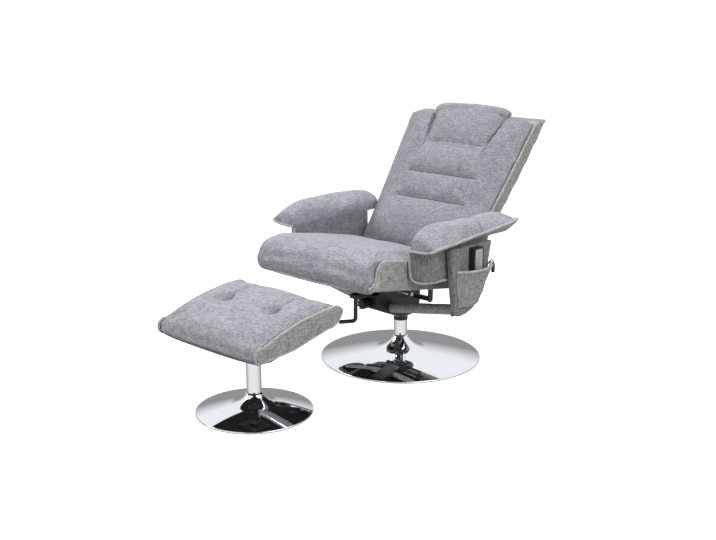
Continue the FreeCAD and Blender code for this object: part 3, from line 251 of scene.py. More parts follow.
def smooth_curve(name, route, diameter):
    """A round bar on one NURBS line that the given control points lead."""
    if len(route) < 3:
        raise ValueError(f"{name} has too few places")
    data = bpy.data.curves.new(name, "CURVE")
    data.dimensions = "3D"
    data.bevel_depth = diameter / 2
    data.bevel_resolution = 4
    data.use_fill_caps = True
    spline = data.splines.new("NURBS")
    spline.points.add(len(route) - 1)
    for point, place in zip(spline.points, route):
        point.co = (*place, 1)
    spline.order_u = 3
    spline.use_endpoint_u = True
    spline.resolution_u = 6
    piece = bpy.data.objects.new(name, data)
    bpy.context.scene.collection.objects.link(piece)
    return piece


lead = smooth_curve("handset_lead_line", LEAD_ROUTE, LEAD_DIAMETER)
lead.data.materials.append(black_rubber)
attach(lead, "carriage")
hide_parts("handset_lead")


# %% Lead plug
def to_piece(name, work):
    """A smooth shaded object from a finished bmesh."""
    mesh = bpy.data.meshes.new(name)
    for face in work.faces:
        face.smooth = True
    work.to_mesh(mesh)
    work.free()
    piece = bpy.data.objects.new(name, mesh)
    bpy.context.scene.collection.objects.link(piece)
    return piece


def spun(name, profile, centre, steps):
    """Turned piece: an outline of (radius, height) spun about an upright axis."""
    work = bmesh.new()
    verts = [work.verts.new((radius, 0, height)) for radius, height in profile]
    edges = [work.edges.new(pair) for pair in zip(verts, verts[1:])]
    bmesh.ops.spin(work, geom=verts + edges, cent=(0, 0, 0), axis=(0, 0, 1), angle=math.tau,
                   steps=steps, use_merge=True)
    bmesh.ops.remove_doubles(work, verts=work.verts, dist=1e-6)
    bmesh.ops.recalc_face_normals(work, faces=work.faces)
    bmesh.ops.translate(work, verts=work.verts, vec=centre)
    return to_piece(name, work)


PLUG_PROFILE = [(0, 0), (0.0028, 0), (0.0034, -0.004), (0.006, -0.007), (0.0065, -0.012),
                (0.006, -0.016), (0.0065, -0.02), (0.006, -0.024), (0.0065, -0.028), (0.0065, -0.034),
                (0.0058, -0.038), (0, -0.038)]
plug = spun("lead_plug_body", PLUG_PROFILE, LEAD_ROUTE[-1], 32)
plug.data.materials.append(black_plastic)
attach(plug, "carriage")
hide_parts("lead_plug")


# %% Lead length
def centreline_length(route):
    """Length of the smooth line on a route, measured on a bare copy that is removed again."""
    bare = smooth_curve("bare_line", route, 0)
    bpy.context.view_layer.update()
    line = bpy.data.meshes.new_from_object(bare.evaluated_get(bpy.context.evaluated_depsgraph_get()))
    places = [vertex.co.copy() for vertex in line.vertices]
    bpy.data.meshes.remove(line)
    bpy.data.objects.remove(bare)
    return sum((b - a).length for a, b in zip(places, places[1:]))


lead_length = centreline_length(LEAD_ROUTE)
print("lead length", round(lead_length, 3), "m")

# %% [markdown]
# ## Cushions
# A cushion is foam in a tight cover. It could be sculpted by hand, but a simulation can be run again when
# a size changes. Each cushion starts as a copy of its CAD solid. A voxel remesh gives it even faces,
# cloth with inner pressure swells it, and a cap keeps it near the solid. Points on what carries the
# cushion are held. Seams are drawn in afterwards, because the remesh would erase them.

# %% Frames and even meshes
SEAT_FRAME = Matrix.Translation((0, -0.1, 0.29)) @ Matrix.Rotation(math.radians(-10), 4, "X")
BACK_FRAME = Matrix.Translation((0, 0.0263835, 0.4078437)) @ Matrix.Rotation(math.radians(-36.9), 4, "X")
STOOL_FRAME = Matrix.Translation((0, -0.741, 0.288)) @ Matrix.Rotation(math.radians(11.7), 4, "X")


def copy_of(node_name, name):
    work = bmesh.new()
    work.from_mesh(nodes[node_name].data)
    bmesh.ops.remove_doubles(work, verts=work.verts, dist=1e-5)
    return to_piece(name, work)


def apply_modifiers(piece):
    """Bake a piece's modifiers into its mesh."""
    graph = bpy.context.evaluated_depsgraph_get()
    mesh = bpy.data.meshes.new_from_object(piece.evaluated_get(graph))
    old = piece.data
    piece.modifiers.clear()
    piece.data = mesh
    bpy.data.meshes.remove(old)


def even_mesh(piece, voxel):
    remesh = piece.modifiers.new("even", "REMESH")
    remesh.mode = "VOXEL"
    remesh.voxel_size = voxel
    remesh.use_smooth_shade = True
    bpy.context.view_layer.update()
    apply_modifiers(piece)


def places_of(mesh):
    flat = np.empty(len(mesh.vertices) * 3, np.float64)
    mesh.vertices.foreach_get("co", flat)
    return flat.reshape(-1, 3)


def normals_of(mesh):
    flat = np.empty(len(mesh.vertices) * 3, np.float64)
    mesh.vertex_normals.foreach_get("vector", flat)
    return flat.reshape(-1, 3)


def set_places(mesh, places):
    mesh.vertices.foreach_set("co", places.astype(np.float32).ravel())
    mesh.update()


def local_places(mesh, matrix):
    inverse = np.array(matrix.inverted())
    return places_of(mesh) @ inverse[:3, :3].T + inverse[:3, 3]


# %% Swelling
PRESSURE = 4
STEPS = 20


def swell(piece, held, cap):
    """Cloth with inner pressure, with each point's travel capped."""
    rest = places_of(piece.data)
    group = piece.vertex_groups.new(name="held")
    group.add([int(index) for index in np.flatnonzero(held)], 1, "REPLACE")
    cloth = piece.modifiers.new("swell", "CLOTH")
    cloth.settings.vertex_group_mass = "held"
    cloth.settings.use_pressure = True
    cloth.settings.uniform_pressure_force = PRESSURE
    cloth.settings.effector_weights.gravity = 0
    cloth.point_cache.frame_start = 1
    cloth.point_cache.frame_end = STEPS
    scene = bpy.context.scene
    scene.frame_start, scene.frame_end = 1, STEPS
    for step in range(1, STEPS + 1):
        scene.frame_set(step)
    graph = bpy.context.evaluated_depsgraph_get()
    swollen = places_of(piece.evaluated_get(graph).to_mesh())
    piece.modifiers.clear()
    piece.vertex_groups.clear()
    scene.frame_set(1)
    travel = swollen - rest
    length = np.linalg.norm(travel, axis=1, keepdims=True)
    set_places(piece.data, rest + travel * np.minimum(1, cap / np.maximum(length, 1e-9)))


def refine(piece):
    subdivision = piece.modifiers.new("refine", "SUBSURF")
    subdivision.levels = subdivision.render_levels = 1
    bpy.context.view_layer.update()
    apply_modifiers(piece)


# %% Seams
def draw_in(piece, depth):
    """Move each point inwards or outwards along its normal by its own depth."""
    set_places(piece.data, places_of(piece.data) - normals_of(piece.data) * depth[:, None])


def unevenness(places, size, seed):
    return np.array([noise.noise(Vector(place) / size + Vector((seed, 0, 0))) for place in places])


def to_line(points, start, end):
    """Distance of points from a straight seam, in the seam's plane."""
    start, end = np.array(start), np.array(end)
    run = end - start
    share = np.clip((points - start) @ run / (run @ run), 0, 1)
    return np.linalg.norm(points - start - share[:, None] * run, axis=1)


def groove(distance, depth, width):
    return depth * np.exp(-(distance / width) ** 2)


# %% Rules that move points
def moved_local(piece, matrix, move):
    """Move a piece's points in a tilted frame by a rule on its own coordinates."""
    turn = np.array(matrix)
    set_places(piece.data, move(local_places(piece.data, matrix)) @ turn[:3, :3].T + turn[:3, 3])


def rising(value, start, span):
    """Share that grows from 0 at the start to 1 at the span's end."""
    return np.clip((value - start) / span, 0, 1)


def falling(value, start, span):
    """The same share, growing downwards from the start."""
    return np.clip((start - value) / span, 0, 1)


def reach_out(inner, outer):
    """Rule that draws a cushion's ends from inner out to outer, to meet the side panels' faces."""
    def move(local):
        across = np.abs(local[:, 0])
        drawn = across + rising(across, inner * 0.7, inner * 0.3) * (outer - inner)
        local[:, 0] = np.sign(local[:, 0]) * np.minimum(drawn, outer + 0.002)
        return local
    return move


def thinned(inner, outer, kept):
    """Rule that presses a pair of side panels against their outer faces."""
    def move(local):
        share = (np.abs(local[:, 0]) - inner) / (outer - inner)
        local[:, 0] = np.sign(local[:, 0]) * (outer - kept + share * kept)
        return local
    return move


# %% One cushion
RIPPLE_SIZE = 0.09
RIPPLE_HEIGHT = 0.0016


def cushion(node_name, name, body, voxel, cap, matrix, is_held, seam_depth, seed, move=None,
            cloth=seat_cloth):
    """Dress a CAD cushion: even faces, swell, seams and a faint unevenness."""
    piece = copy_of(node_name, name)
    even_mesh(piece, voxel)
    if move:
        moved_local(piece, matrix, move)
    draw_in(piece, np.full(len(piece.data.vertices), cap * 0.1))
    swell(piece, is_held(local_places(piece.data, matrix), normals_of(piece.data)), cap)
    refine(piece)
    local = local_places(piece.data, matrix)
    ripple = unevenness(places_of(piece.data), RIPPLE_SIZE, seed) * RIPPLE_HEIGHT
    draw_in(piece, seam_depth(local) + ripple)
    piece.data.materials.append(cloth)
    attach(piece, body)
    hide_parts(node_name)
    print(name, len(piece.data.polygons), "faces")
    return piece


# %% [markdown]
# ## Seat and back cushions
# The seat is one crowned pad. The back has two sewn channels across a centre panel, whose sides are
# soft valleys. A head pillow is set into its top. Seams could be painted as dark lines, but a groove
# catches the light as a real seam does. A thin near-black thread is then dropped onto the finished cover
# along each channel and round the pillow: painted shade that darkens the seams.

# %% Seat and back cushions
PANEL_HALF_WIDTH = 0.158
CHANNELS = (0.219, 0.33)


def seat_seams(local):
    return groove(0.263 - np.abs(local[:, 0]), 0.006, 0.009)


def back_seams(local):
    front = local[:, 1] < 0.03
    flat = local[:, [0, 2]]
    depth = np.zeros(len(local))
    for height in CHANNELS:
        seam = to_line(flat, (-PANEL_HALF_WIDTH, height), (PANEL_HALF_WIDTH, height))
        depth += groove(seam, 0.005, 0.005) + groove(seam, 0.003, 0.016)
    for side in (-1, 1):
        valley = to_line(flat, (side * PANEL_HALF_WIDTH, 0.2), (side * PANEL_HALF_WIDTH, 0.42))
        depth += groove(valley, 0.005, 0.012)
    return depth * front + groove(local[:, 1] - 0.036, 0.003, 0.006)


def no_seams(local):
    return np.zeros(len(local))


def full_nose(local):
    """The seat reaches out to its side panels, and its rolled front edge hangs a little lower."""
    forward = falling(local[:, 1], -0.29, 0.09)
    under = falling(local[:, 2], 0.11, 0.05)
    local[:, 2] -= 0.015 * forward * under
    return reach_out(0.246, 0.2605)(local)


cushion("seat_cushion", "seat_pad", "seat", 0.007, 0.011, SEAT_FRAME,
        lambda local, normal: local[:, 2] < 0.07, seat_seams, 1, full_nose)
# the back and its head pillow wear a darker copy of the seat's cloth: painted shade
back_pad = cushion("back_cushion", "back_pad", "back", 0.007, 0.011, BACK_FRAME,
                   lambda local, normal: local[:, 1] > 0.03, back_seams, 2, cloth=back_shaded_cloth)
head_pad = cushion("head_pillow", "head_pad", "back", 0.006, 0.007, BACK_FRAME,
                   lambda local, normal: local[:, 1] > 0.03, no_seams, 3, cloth=back_shaded_cloth)

# %% Sewn threads
# the thread is near black, darker than any yarn of the cloth: painted shade in the seams
seam_shade_thread = hard_finish("seam_shade_thread", (0.05, 0.052, 0.058), 0.9, 0, 700, 0.3, 0.3)
THREAD_DIAMETER = 0.0022


def surface_of(piece):
    return BVHTree.FromPolygons([vertex.co for vertex in piece.data.vertices],
                                [polygon.vertices for polygon in piece.data.polygons])


def dropped(surface, starts, inward):
    """Places where straight lines from the given starts meet a cover."""
    hits = [surface.ray_cast(start, inward)[0] for start in starts]
    return [hit for hit in hits if hit]


INTO_BACK = (BACK_FRAME.to_3x3() @ Vector((0, 1, 0))).normalized()


def before_back(across, up):
    """A place in front of the back, from which a line is dropped onto it."""
    return BACK_FRAME @ Vector((across, -0.3, up))


def stitched(name, places):
    """A sewn line along places on the back's cover."""
    line = smooth_curve(name, places, THREAD_DIAMETER)
    line.data.materials.append(seam_shade_thread)
    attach(line, "back")


def straight_seam(name, start, end):
    spots = np.linspace(start, end, 25)
    stitched(name, dropped(back_surface, [before_back(*spot) for spot in spots], INTO_BACK))


back_surface, head_surface = surface_of(back_pad), surface_of(head_pad)
for count, height in enumerate(CHANNELS, 1):
    straight_seam(f"back_seam_{count}", (-PANEL_HALF_WIDTH, height), (PANEL_HALF_WIDTH, height))
PILLOW_FOOT, PILLOW_HEAD = (0.1405, 0.4395), (0.1735, 0.594)
straight_seam("pillow_seam_1", PILLOW_FOOT, PILLOW_HEAD)
straight_seam("pillow_seam_2", (-PILLOW_FOOT[0], PILLOW_FOOT[1]), (-PILLOW_HEAD[0], PILLOW_HEAD[1]))

# the pillow's lower seam follows the lowest places of its front
lower_edge = []
for across in np.linspace(-0.133, 0.133, 25):
    column = [before_back(across, up) for up in np.arange(0.44, 0.52, 0.002)]
    lower_edge += dropped(head_surface, column, INTO_BACK)[:1]
stitched("pillow_seam_3", lower_edge)
print("pillow's lower seam", len(lower_edge), "places")

# %% [markdown]
# ## Arm pads
# The pads overhang the arms like a wing, with a hem at the outer edge and a soft ridge of foam along the
# middle. Short puckers run in from the hem where the cover is pulled over the foam. A shrinking cloth
# could make them, but their places are known, so the ridge and the puckers are rules on the pads' points.

# %% Arm pads
PUCKERS = ((-0.15, 0.004), (-0.11, 0.007), (-0.085, 0.006), (-0.03, 0.007), (0.06, 0.004))


def pad_seams(local):
    across = np.abs(local[:, 0])
    slant = 0.1 * (0.39 - across)
    reach = rising(across, 0.33, 0.04)
    depth = np.zeros(len(local))
    for place, strength in PUCKERS:
        depth += groove(np.abs(local[:, 1] - place - slant), strength, 0.006) * reach
    return depth


WORLD = Matrix.Identity(4)

# how far the foam stands above its solid, from the pad's front end to its rear tip
PAD_PLACES = (-0.28, -0.19, -0.13, -0.07, -0.01, 0.05, 0.11, 0.157, 0.186)
PAD_RIDGE = (0.006, 0.007, 0.009, 0.009, 0.001, -0.001, 0.004, 0.009, 0.006)


def fuller_pad(local):
    """The foam stands in a soft ridge between the arm's inner face and the hem."""
    share = rising(np.abs(local[:, 0]), 0.272, 0.118)
    hem = 0.518 + 0.06 * (local[:, 1] + 0.28)
    above = rising(local[:, 2], hem, 0.025)
    ridge = np.interp(local[:, 1], PAD_PLACES, PAD_RIDGE)
    local[:, 2] += ridge * np.sqrt(np.sin(math.pi * share)) * above
    return local


for side in ("left", "right"):
    cushion(f"{side}_arm_pad", f"{side}_pad", "carriage", 0.0055, 0.012, WORLD,
            lambda local, normal: normal[:, 2] < -0.3, pad_seams, 4, fuller_pad)

# %% [markdown]
# ## Footstool cushion
# Two tufts, where thread is tied through the foam, draw the cover down. A long fold runs from each
# towards the chair, and a short one towards the front. Pins in the simulation could pull them in, but
# such folds are hard to steer, so they are grooves like the seams.

# %% Footstool cushion
TUFTS = ((-0.11, 0.0), (0.11, 0.0))


def stool_seams(local):
    top = local[:, 2] > 0.04
    flat = local[:, :2]
    depth = np.zeros(len(local))
    for x, y in TUFTS:
        spot = np.linalg.norm(flat - np.array((x, y)), axis=1)
        depth += groove(spot, 0.008, 0.012) + groove(spot, 0.005, 0.045)
        fold = to_line(flat, (x, y), (x + 0.01, y + 0.15))
        depth += (groove(fold, 0.011, 0.007) + groove(fold, 0.007, 0.028)) * np.exp(-spot / 0.2)
        depth += groove(to_line(flat, (x, y), (x - 0.07, y - 0.06)), 0.005, 0.02) * np.exp(-spot / 0.07)
    depth += groove(to_line(flat, TUFTS[0], TUFTS[1]), 0.003, 0.018)
    return depth * top + groove(0.2325 - np.abs(local[:, 0]), 0.006, 0.008)


cushion("stool_cushion", "stool_pad", "footstool", 0.006, 0.009, STOOL_FRAME,
        lambda local, normal: local[:, 2] < 0.032, stool_seams, 5, reach_out(0.217, 0.23))

# %% [markdown]
# ## Upholstered panels
# Seat sides, arm panels, bracket covers, footstool sides and the back's casing are boards under cloth
# and thin foam. A bevel could round their edges, but it leaves the faces flat. Smoothing an even mesh
# rounds the edges, and its points can then be moved a little to look like cloth.

# %% Upholstered panels
def panel(node_name, name, body, voxel, rounds, puff, seed, matrix=WORLD, move=None, cloth=side_cloth):
    """Dress a CAD panel: even faces, rounded edges and a faint unevenness."""
    piece = copy_of(node_name, name)
    even_mesh(piece, voxel)
    work = bmesh.new()
    work.from_mesh(piece.data)
    for _ in range(rounds):
        bmesh.ops.smooth_vert(work, verts=work.verts, factor=0.5, use_axis_x=True, use_axis_y=True,
                              use_axis_z=True)
    work.to_mesh(piece.data)
    work.free()
    if move:
        moved_local(piece, matrix, move)
    draw_in(piece, unevenness(places_of(piece.data), 0.07, seed) * puff)
    piece.data.materials.append(cloth)
    for polygon in piece.data.polygons:
        polygon.use_smooth = True
    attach(piece, body)
    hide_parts(node_name)
    print(name, len(piece.data.polygons), "faces")
    return piece


def into_pad(local):
    """Arm panels run on into the pads above, round off to the front, and close in to the back inside."""
    across = np.abs(local[:, 0])
    local[:, 2] += rising(local[:, 2], 0.46, 0.04) * 0.014
    local[:, 1] += rising(across, 0.285, 0.05) * falling(local[:, 1], -0.2, 0.08) * 0.02
    local[:, 1] += falling(across, 0.31, 0.01) * rising(local[:, 1], 0.03, 0.025) * 0.06
    return local


panel("seat_sides", "seat_side_covers", "seat", 0.005, 3, 0.0012, 11, SEAT_FRAME,
      thinned(0.246, 0.266, 0.007))
# arm panels and bracket covers wear a darker copy of the side cloth: painted shade under the pads
arm_covers = panel("arm_panels", "arm_side_covers", "carriage", 0.005, 4, 0.0015, 12, WORLD, into_pad,
                   bracket_shaded_cloth)
panel("strap_covers", "bracket_covers", "carriage", 0.005, 4, 0.0015, 13, cloth=bracket_shaded_cloth)
panel("stool_sides", "stool_side_covers", "footstool", 0.005, 3, 0.0012, 14, STOOL_FRAME,
      thinned(0.217, 0.235, 0.006))
back_cover = panel("back_casing", "back_cover", "back", 0.006, 3, 0.002, 15)

# the arms' inner faces carry a darker copy of the seat's cloth than the pads do: painted shade
arm_covers.data.materials.append(arm_shaded_cloth)
for polygon in arm_covers.data.polygons:
    if polygon.normal.x * polygon.center.x < 0 and abs(polygon.normal.x) > 0.6:
        polygon.material_index = 1

# and the back's cover runs over its upper edge, in the back's darker cloth: painted shade
upward = BACK_FRAME.to_3x3() @ Vector((0, 0, 1))
back_cover.data.materials.append(back_shaded_cloth)
for polygon in back_cover.data.polygons:
    if polygon.normal.dot(upward) > 0.6:
        polygon.material_index = 1

# %% [markdown]
# ## Bracket sleeves and pocket
# Cloth sleeves hide the bracket tubes, and the handset's pocket is gathered by elastic at its mouth. A
# simulation could gather it, but the thin cloth might cut the handset. A wave that fades out below the
# mouth gives the same pleats and stays clear of it.

# %% Sleeves and pocket
panel("tube_sleeves", "bracket_sleeves", "carriage", 0.0025, 2, 0.0012, 16)

GATHER_PITCH = 0.017
GATHER_SWING = 0.0026
GATHER_HEIGHT = 0.07
MOUTH_HEIGHT = 0.424
pocket = copy_of("side_pocket", "handset_pocket")
even_mesh(pocket, 0.0014)
places = places_of(pocket.data)
below = np.clip(1 - (MOUTH_HEIGHT - places[:, 2]) / GATHER_HEIGHT, 0, 1)
wave = np.sin(places[:, 1] / GATHER_PITCH * math.tau) * GATHER_SWING
free = rising(places[:, 0], 0.377, 0.01)
places[:, 0] += wave * below * free
set_places(pocket.data, places)
pocket.data.materials.append(side_cloth)
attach(pocket, "carriage")
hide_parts("side_pocket")
pocket_area = sum(polygon.area for polygon in pocket.data.polygons) / 2
print("pocket cloth", round(pocket_area, 4), "square metres")

# %% [markdown]
# ## Piping
# Corded piping covers the seams. All of it could follow points set by hand, but most routes are read from
# the sharp edges of the CAD solids, so that the cord lies on the seam. The back's route is dropped onto
# its casing. The arm panels' edges, the pads' front ends and the two hems are short lists, because no
# sharp edge runs where they are.

# %% Piping helpers
PIPING_DIAMETER = 0.009
LEAST_ANGLE = 0.6


def sharp_lines(node_name, keep):
    """Chains of a node's sharp edges whose middles are wanted."""
    work = bmesh.new()
    work.from_mesh(nodes[node_name].data)
    bmesh.ops.remove_doubles(work, verts=work.verts, dist=1e-5)
    wanted = {}
    for edge in work.edges:
        if len(edge.link_faces) == 2 and edge.calc_face_angle(0) > LEAST_ANGLE:
            middle = (edge.verts[0].co + edge.verts[1].co) / 2
            if keep(middle):
                for a, b in (edge.verts, reversed(edge.verts)):
                    wanted.setdefault(a.index, []).append(b.index)
    spots = {vertex.index: vertex.co.copy() for vertex in work.verts}
    work.free()
    lines = []
    while wanted:
        ends = [index for index, near in wanted.items() if len(near) == 1]
        here = ends[0] if ends else next(iter(wanted))
        line = [here]
        while wanted.get(here):
            ahead = wanted[here].pop(0)
            wanted[ahead].remove(here)
            if not wanted[here]:
                del wanted[here]
            here = ahead
            line.append(here)
        if here in wanted and not wanted[here]:
            del wanted[here]
        if len(line) > 2:
            lines.append([spots[index] for index in line])
    return lines


# piping wears the lighter cloth, a painted highlight on the cord
def piped(name, body, line, cloth=piping_lit_cloth):
    piece = smooth_curve(name, line, PIPING_DIAMETER)
    piece.data.materials.append(cloth)
    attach(piece, body)


def piping(name, body, node_name, keep, narrower=0.0, proud=0.0):
    """Piping along a node's sharp edges, brought in where the cover is narrower, and proud of it."""
    runs = sharp_lines(node_name, keep)
    for count, line in enumerate(runs, 1):
        centre = sum(line, Vector()) / len(line)
        drawn = []
        for place in line:
            outward = place - centre
            outward.x = 0
            inset = Vector((math.copysign(narrower, place.x), 0, 0))
            drawn.append(place - inset + outward.normalized() * proud)
        piped(f"{name}_{count}", body, drawn)
    print(name, len(runs), "runs")


def in_frame(matrix, test):
    inverse = matrix.inverted()
    return lambda middle: test(inverse @ middle)


# %% Piping on seat and back
SEAT_INSET = 0.0045
PIPING_PROUD = 0.003
piping("seat_piping", "seat", "seat_sides",
       in_frame(SEAT_FRAME, lambda p: abs(p.x) > 0.265 and p.z > 0.046 and p.y < 0.08), SEAT_INSET,
       PIPING_PROUD)

# a second cord stands ahead of the first round the seat's nose
nose = in_frame(SEAT_FRAME, lambda p: abs(p.x) > 0.265 and p.z > 0.046 and p.y < -0.25)
ahead = SEAT_FRAME.to_3x3() @ Vector((0, -0.013, 0.004))
for count, line in enumerate(sharp_lines("seat_sides", nose), 1):
    shifted = [place + ahead - Vector((math.copysign(SEAT_INSET, place.x), 0, 0)) for place in line]
    piped(f"nose_piping_{count}", "seat", shifted)

# the back's cord lies just ahead of the casing's sides
casing = surface_of(back_cover)
for count, side in enumerate((1, -1), 1):
    starts = [BACK_FRAME @ Vector((side * 0.5, 0.043, up)) for up in np.linspace(0.02, 0.598, 30)]
    forward = BACK_FRAME.to_3x3() @ Vector((side * 0.001, -0.006, 0))
    edge = [place + forward for place in dropped(casing, starts, Vector((-side, 0, 0)))]
    piped(f"back_piping_{count}", "back", edge)
    print("back piping", len(edge), "places")

# %% Piping on arms, footstool and pocket, and hems
ARM_EDGE = [(0.2745, -0.2835, 0.5), (0.2745, -0.2835, 0.44), (0.279, -0.281, 0.408),
            (0.294, -0.272, 0.396), (0.322, -0.247, 0.394), (0.3385, -0.2, 0.3955),
            (0.339, -0.1, 0.396), (0.339, 0, 0.396), (0.339, 0.055, 0.396)]
for count, side in enumerate((1, -1), 1):
    piped(f"arm_panel_piping_{count}", "carriage", [(side * x, y, z) for x, y, z in ARM_EDGE])
STOOL_INSET = 0.004
piping("stool_piping", "footstool", "stool_sides",
       in_frame(STOOL_FRAME, lambda p: abs(p.x) > 0.234), STOOL_INSET, PIPING_PROUD)

# a pad's hem runs along its outer edge and round its front end
PAD_FRONT = ((0.384, -0.284, 0.519), (0.372, -0.288, 0.515), (0.35, -0.288, 0.509),
             (0.31, -0.287, 0.506), (0.279, -0.285, 0.506))
for side, sign in (("left", 1), ("right", -1)):
    hems = sharp_lines(f"{side}_arm_pad", lambda p: abs(p.x) > 0.372 and p.z < 0.57)
    edge = sorted(max(hems, key=len), key=lambda place: -place.y)
    line = [place - Vector((sign * 0.003, 0, 0)) for place in edge if place.y > -0.275]
    piped(f"{side}_pad_piping", "carriage", line + [Vector((sign * x, y, z)) for x, y, z in PAD_FRONT])
piping("pocket_piping", "carriage", "side_pocket", lambda p: p.z > 0.4232 and p.x > 0.3765)

# the hems below the seat's nose and the footstool's front edge; the footstool's hem wears a much darker
# copy of the piping cloth, painted shade under its edge
ACROSS = (-1, -0.9, -0.7, -0.4, 0, 0.4, 0.7, 0.9, 1)
seat_hem = [(0.261 * share, -0.396 + 0.02 * share ** 4, 0.037 + 0.006 * share ** 4) for share in ACROSS]
stool_hem = [(0.231 * share, -0.1985 + 0.012 * share ** 4, 0.0205) for share in ACROSS]
piped("seat_hem_piping", "seat", [SEAT_FRAME @ Vector(place) for place in seat_hem])
piped("stool_hem_piping", "footstool", [STOOL_FRAME @ Vector(place) for place in stool_hem], hem_shaded_cloth)

# %% [markdown]
# ## Black lining
# Thin black cloth is stapled under the seat and the footstool. It hangs a little between its edges, and
# it is what the chrome below mirrors. It could hang in a simulation, but so small a sag is as well given
# by a formula on a grid.

# %% Black lining
LINING_THICKNESS = 0.0008


def lining(name, body, node_name, matrix, half_width, front, rear, height, sag, seed):
    work = bmesh.new()
    bmesh.ops.create_grid(work, x_segments=40, y_segments=40, size=1)
    width, length = 2 * half_width, rear - front
    for vertex in work.verts:
        across, along = vertex.co.x, vertex.co.y
        place = Vector((across * half_width, front + (along + 1) / 2 * length, 0))
        slack = (1 - across ** 4) * (1 - along ** 4)
        crease = noise.noise(place / 0.06 + Vector((seed, 0, 0))) * 0.0014
        place.z = height(place.y) - slack * sag + crease * slack
        vertex.co = matrix @ place
    bmesh.ops.solidify(work, geom=work.faces, thickness=LINING_THICKNESS)
    bmesh.ops.recalc_face_normals(work, faces=work.faces)
    piece = to_piece(name, work)
    piece.data.materials.append(lining_cloth)
    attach(piece, body)
    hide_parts(node_name)
    print(name, round(width, 3), "by", round(length, 3), "m")


lining("seat_lining_cloth", "seat", "seat_lining", SEAT_FRAME, 0.256, -0.366, 0.086,
       lambda y: 0.0428, 0.002, 31)
lining("stool_lining_cloth", "footstool", "stool_lining", STOOL_FRAME, 0.226, -0.186, 0.128,
       lambda y: max(0, -0.134 - y) * 0.28 - 0.0014, 0.001, 32)

# %% [markdown]
# ## Chrome bases
# The bases are spun sheet: a shallow cone with a trumpet flare up to the column. They mirror everything,
# and the CAD mesh would show its facets. Subdividing it would soften the rim too, so the bases are turned
# again here in fine steps.

# %% Chrome bases
def arc_between(start, end, radius, count):
    """Points on the flare between two corners of the outline, hollow side up."""
    start, end = Vector(start), Vector(end)
    middle = (start + end) / 2
    half = (end - start) / 2
    rise = math.sqrt(radius ** 2 - half.length_squared)
    across = Vector((half.y, -half.x)).normalized()
    centre = middle + across * rise
    if centre.y < middle.y:
        centre = middle - across * rise
    first = math.atan2(start.y - centre.y, start.x - centre.x)
    last = math.atan2(end.y - centre.y, end.x - centre.x)
    turn = (last - first + math.pi) % math.tau - math.pi
    return [(centre.x + radius * math.cos(first + turn * i / count),
             centre.y + radius * math.sin(first + turn * i / count)) for i in range(count + 1)]


def chrome_base(prefix, body, y, radius, flare, flare_height, neck_height, sweep):
    """Outline of a disc from its rim up the flare, over the neck and back inside, spun round."""
    sheet = 0.0025
    inside = (0.025, neck_height - sheet)
    profile = [(radius - sheet, 0.002), (radius - 0.0006, 0.002), (radius, 0.0028), (radius, 0.0062),
               (radius - 0.0012, 0.0071)]
    profile += arc_between((flare, flare_height), (0.0275, neck_height), sweep, 24)
    profile += [(0.006, neck_height), (0.006, neck_height - sheet), inside]
    profile += arc_between(inside, (flare, flare_height - sheet), sweep + sheet, 12)[1:]
    profile += [(radius - sheet, 0.0045), (radius - sheet, 0.002)]
    piece = spun(f"{prefix}_chrome_base", profile, (0, y, 0), 128)
    piece.data.materials.append(chrome)
    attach(piece, body)
    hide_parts(f"{prefix}_base_disc")
    print(piece.name, len(piece.data.polygons), "faces")


chrome_base("chair", "chair_base", 0, 0.3, 0.1, 0.034, 0.086, 0.095)
chrome_base("stool", "footstool", -0.741, 0.194, 0.08, 0.029, 0.066, 0.078)

# %% [markdown]
# ## Floor
# The set stands on a pale studio floor. A curved paper sweep would do as well, but a wide flat floor needs
# no shape of its own. It glows faintly, so that it stays pale far from the lights, and only the camera
# and shadows meet it, so that the glow doesn't light the set from below.

# %% Floor
FLOOR_GLOW = 0.62
work = bmesh.new()
bmesh.ops.create_grid(work, x_segments=1, y_segments=1, size=80)
floor = to_piece("floor", work)
floor_paint, _, floor_shader = new_material("floor_paint", (0.9, 0.9, 0.9), 0.9)
floor_shader.inputs["Specular IOR Level"].default_value = 0
floor_shader.inputs["Emission Color"].default_value = (1, 1, 1, 1)
floor_shader.inputs["Emission Strength"].default_value = FLOOR_GLOW
floor.data.materials.append(floor_paint)
floor.visible_diffuse = False
floor.visible_glossy = False
print("floor", round(floor.dimensions.x), "m wide")

# %% [markdown]
# ## World
# A photographed sky could light the set, but it would bring its own colours. Three plain skies are mixed
# by kind of ray instead. The camera sees white, cloth gets an even light, and chrome mirrors a sky that
# is pale overhead and towards the camera, and grey behind the chair.

# %% World
SKY_STRENGTH = 0.5
OVERHEAD_TINT = (0.92, 0.94, 0.97, 1)
TOWARDS_CAMERA = (0.338, -0.368, 0)
ROUND_STOPS = ((0, (0.3, 0.3, 0.3)), (0.3, (0.42, 0.42, 0.42)), (0.62, (0.8, 0.8, 0.78)),
               (1, (0.9, 0.9, 0.88)))
RISE_STOPS = ((0.08, (0, 0, 0)), (0.42, (1, 1, 1)))
world = bpy.data.worlds.new("studio")
bpy.context.scene.world = world
world.use_nodes = True
sky = world.node_tree
sky_light = sky.nodes["Background"]
sky_light.inputs["Color"].default_value = (1, 1, 1, 1)
sky_light.inputs["Strength"].default_value = SKY_STRENGTH
chrome_sky = sky.nodes.new("ShaderNodeBackground")
backdrop = sky.nodes.new("ShaderNodeBackground")
backdrop.inputs["Color"].default_value = (1, 1, 1, 1)
rays = sky.nodes.new("ShaderNodeLightPath")
direction = sky.nodes.new("ShaderNodeTexCoord")
split = sky.nodes.new("ShaderNodeSeparateXYZ")
sky.links.new(direction.outputs["Generated"], split.inputs["Vector"])
facing = sky.nodes.new("ShaderNodeVectorMath")
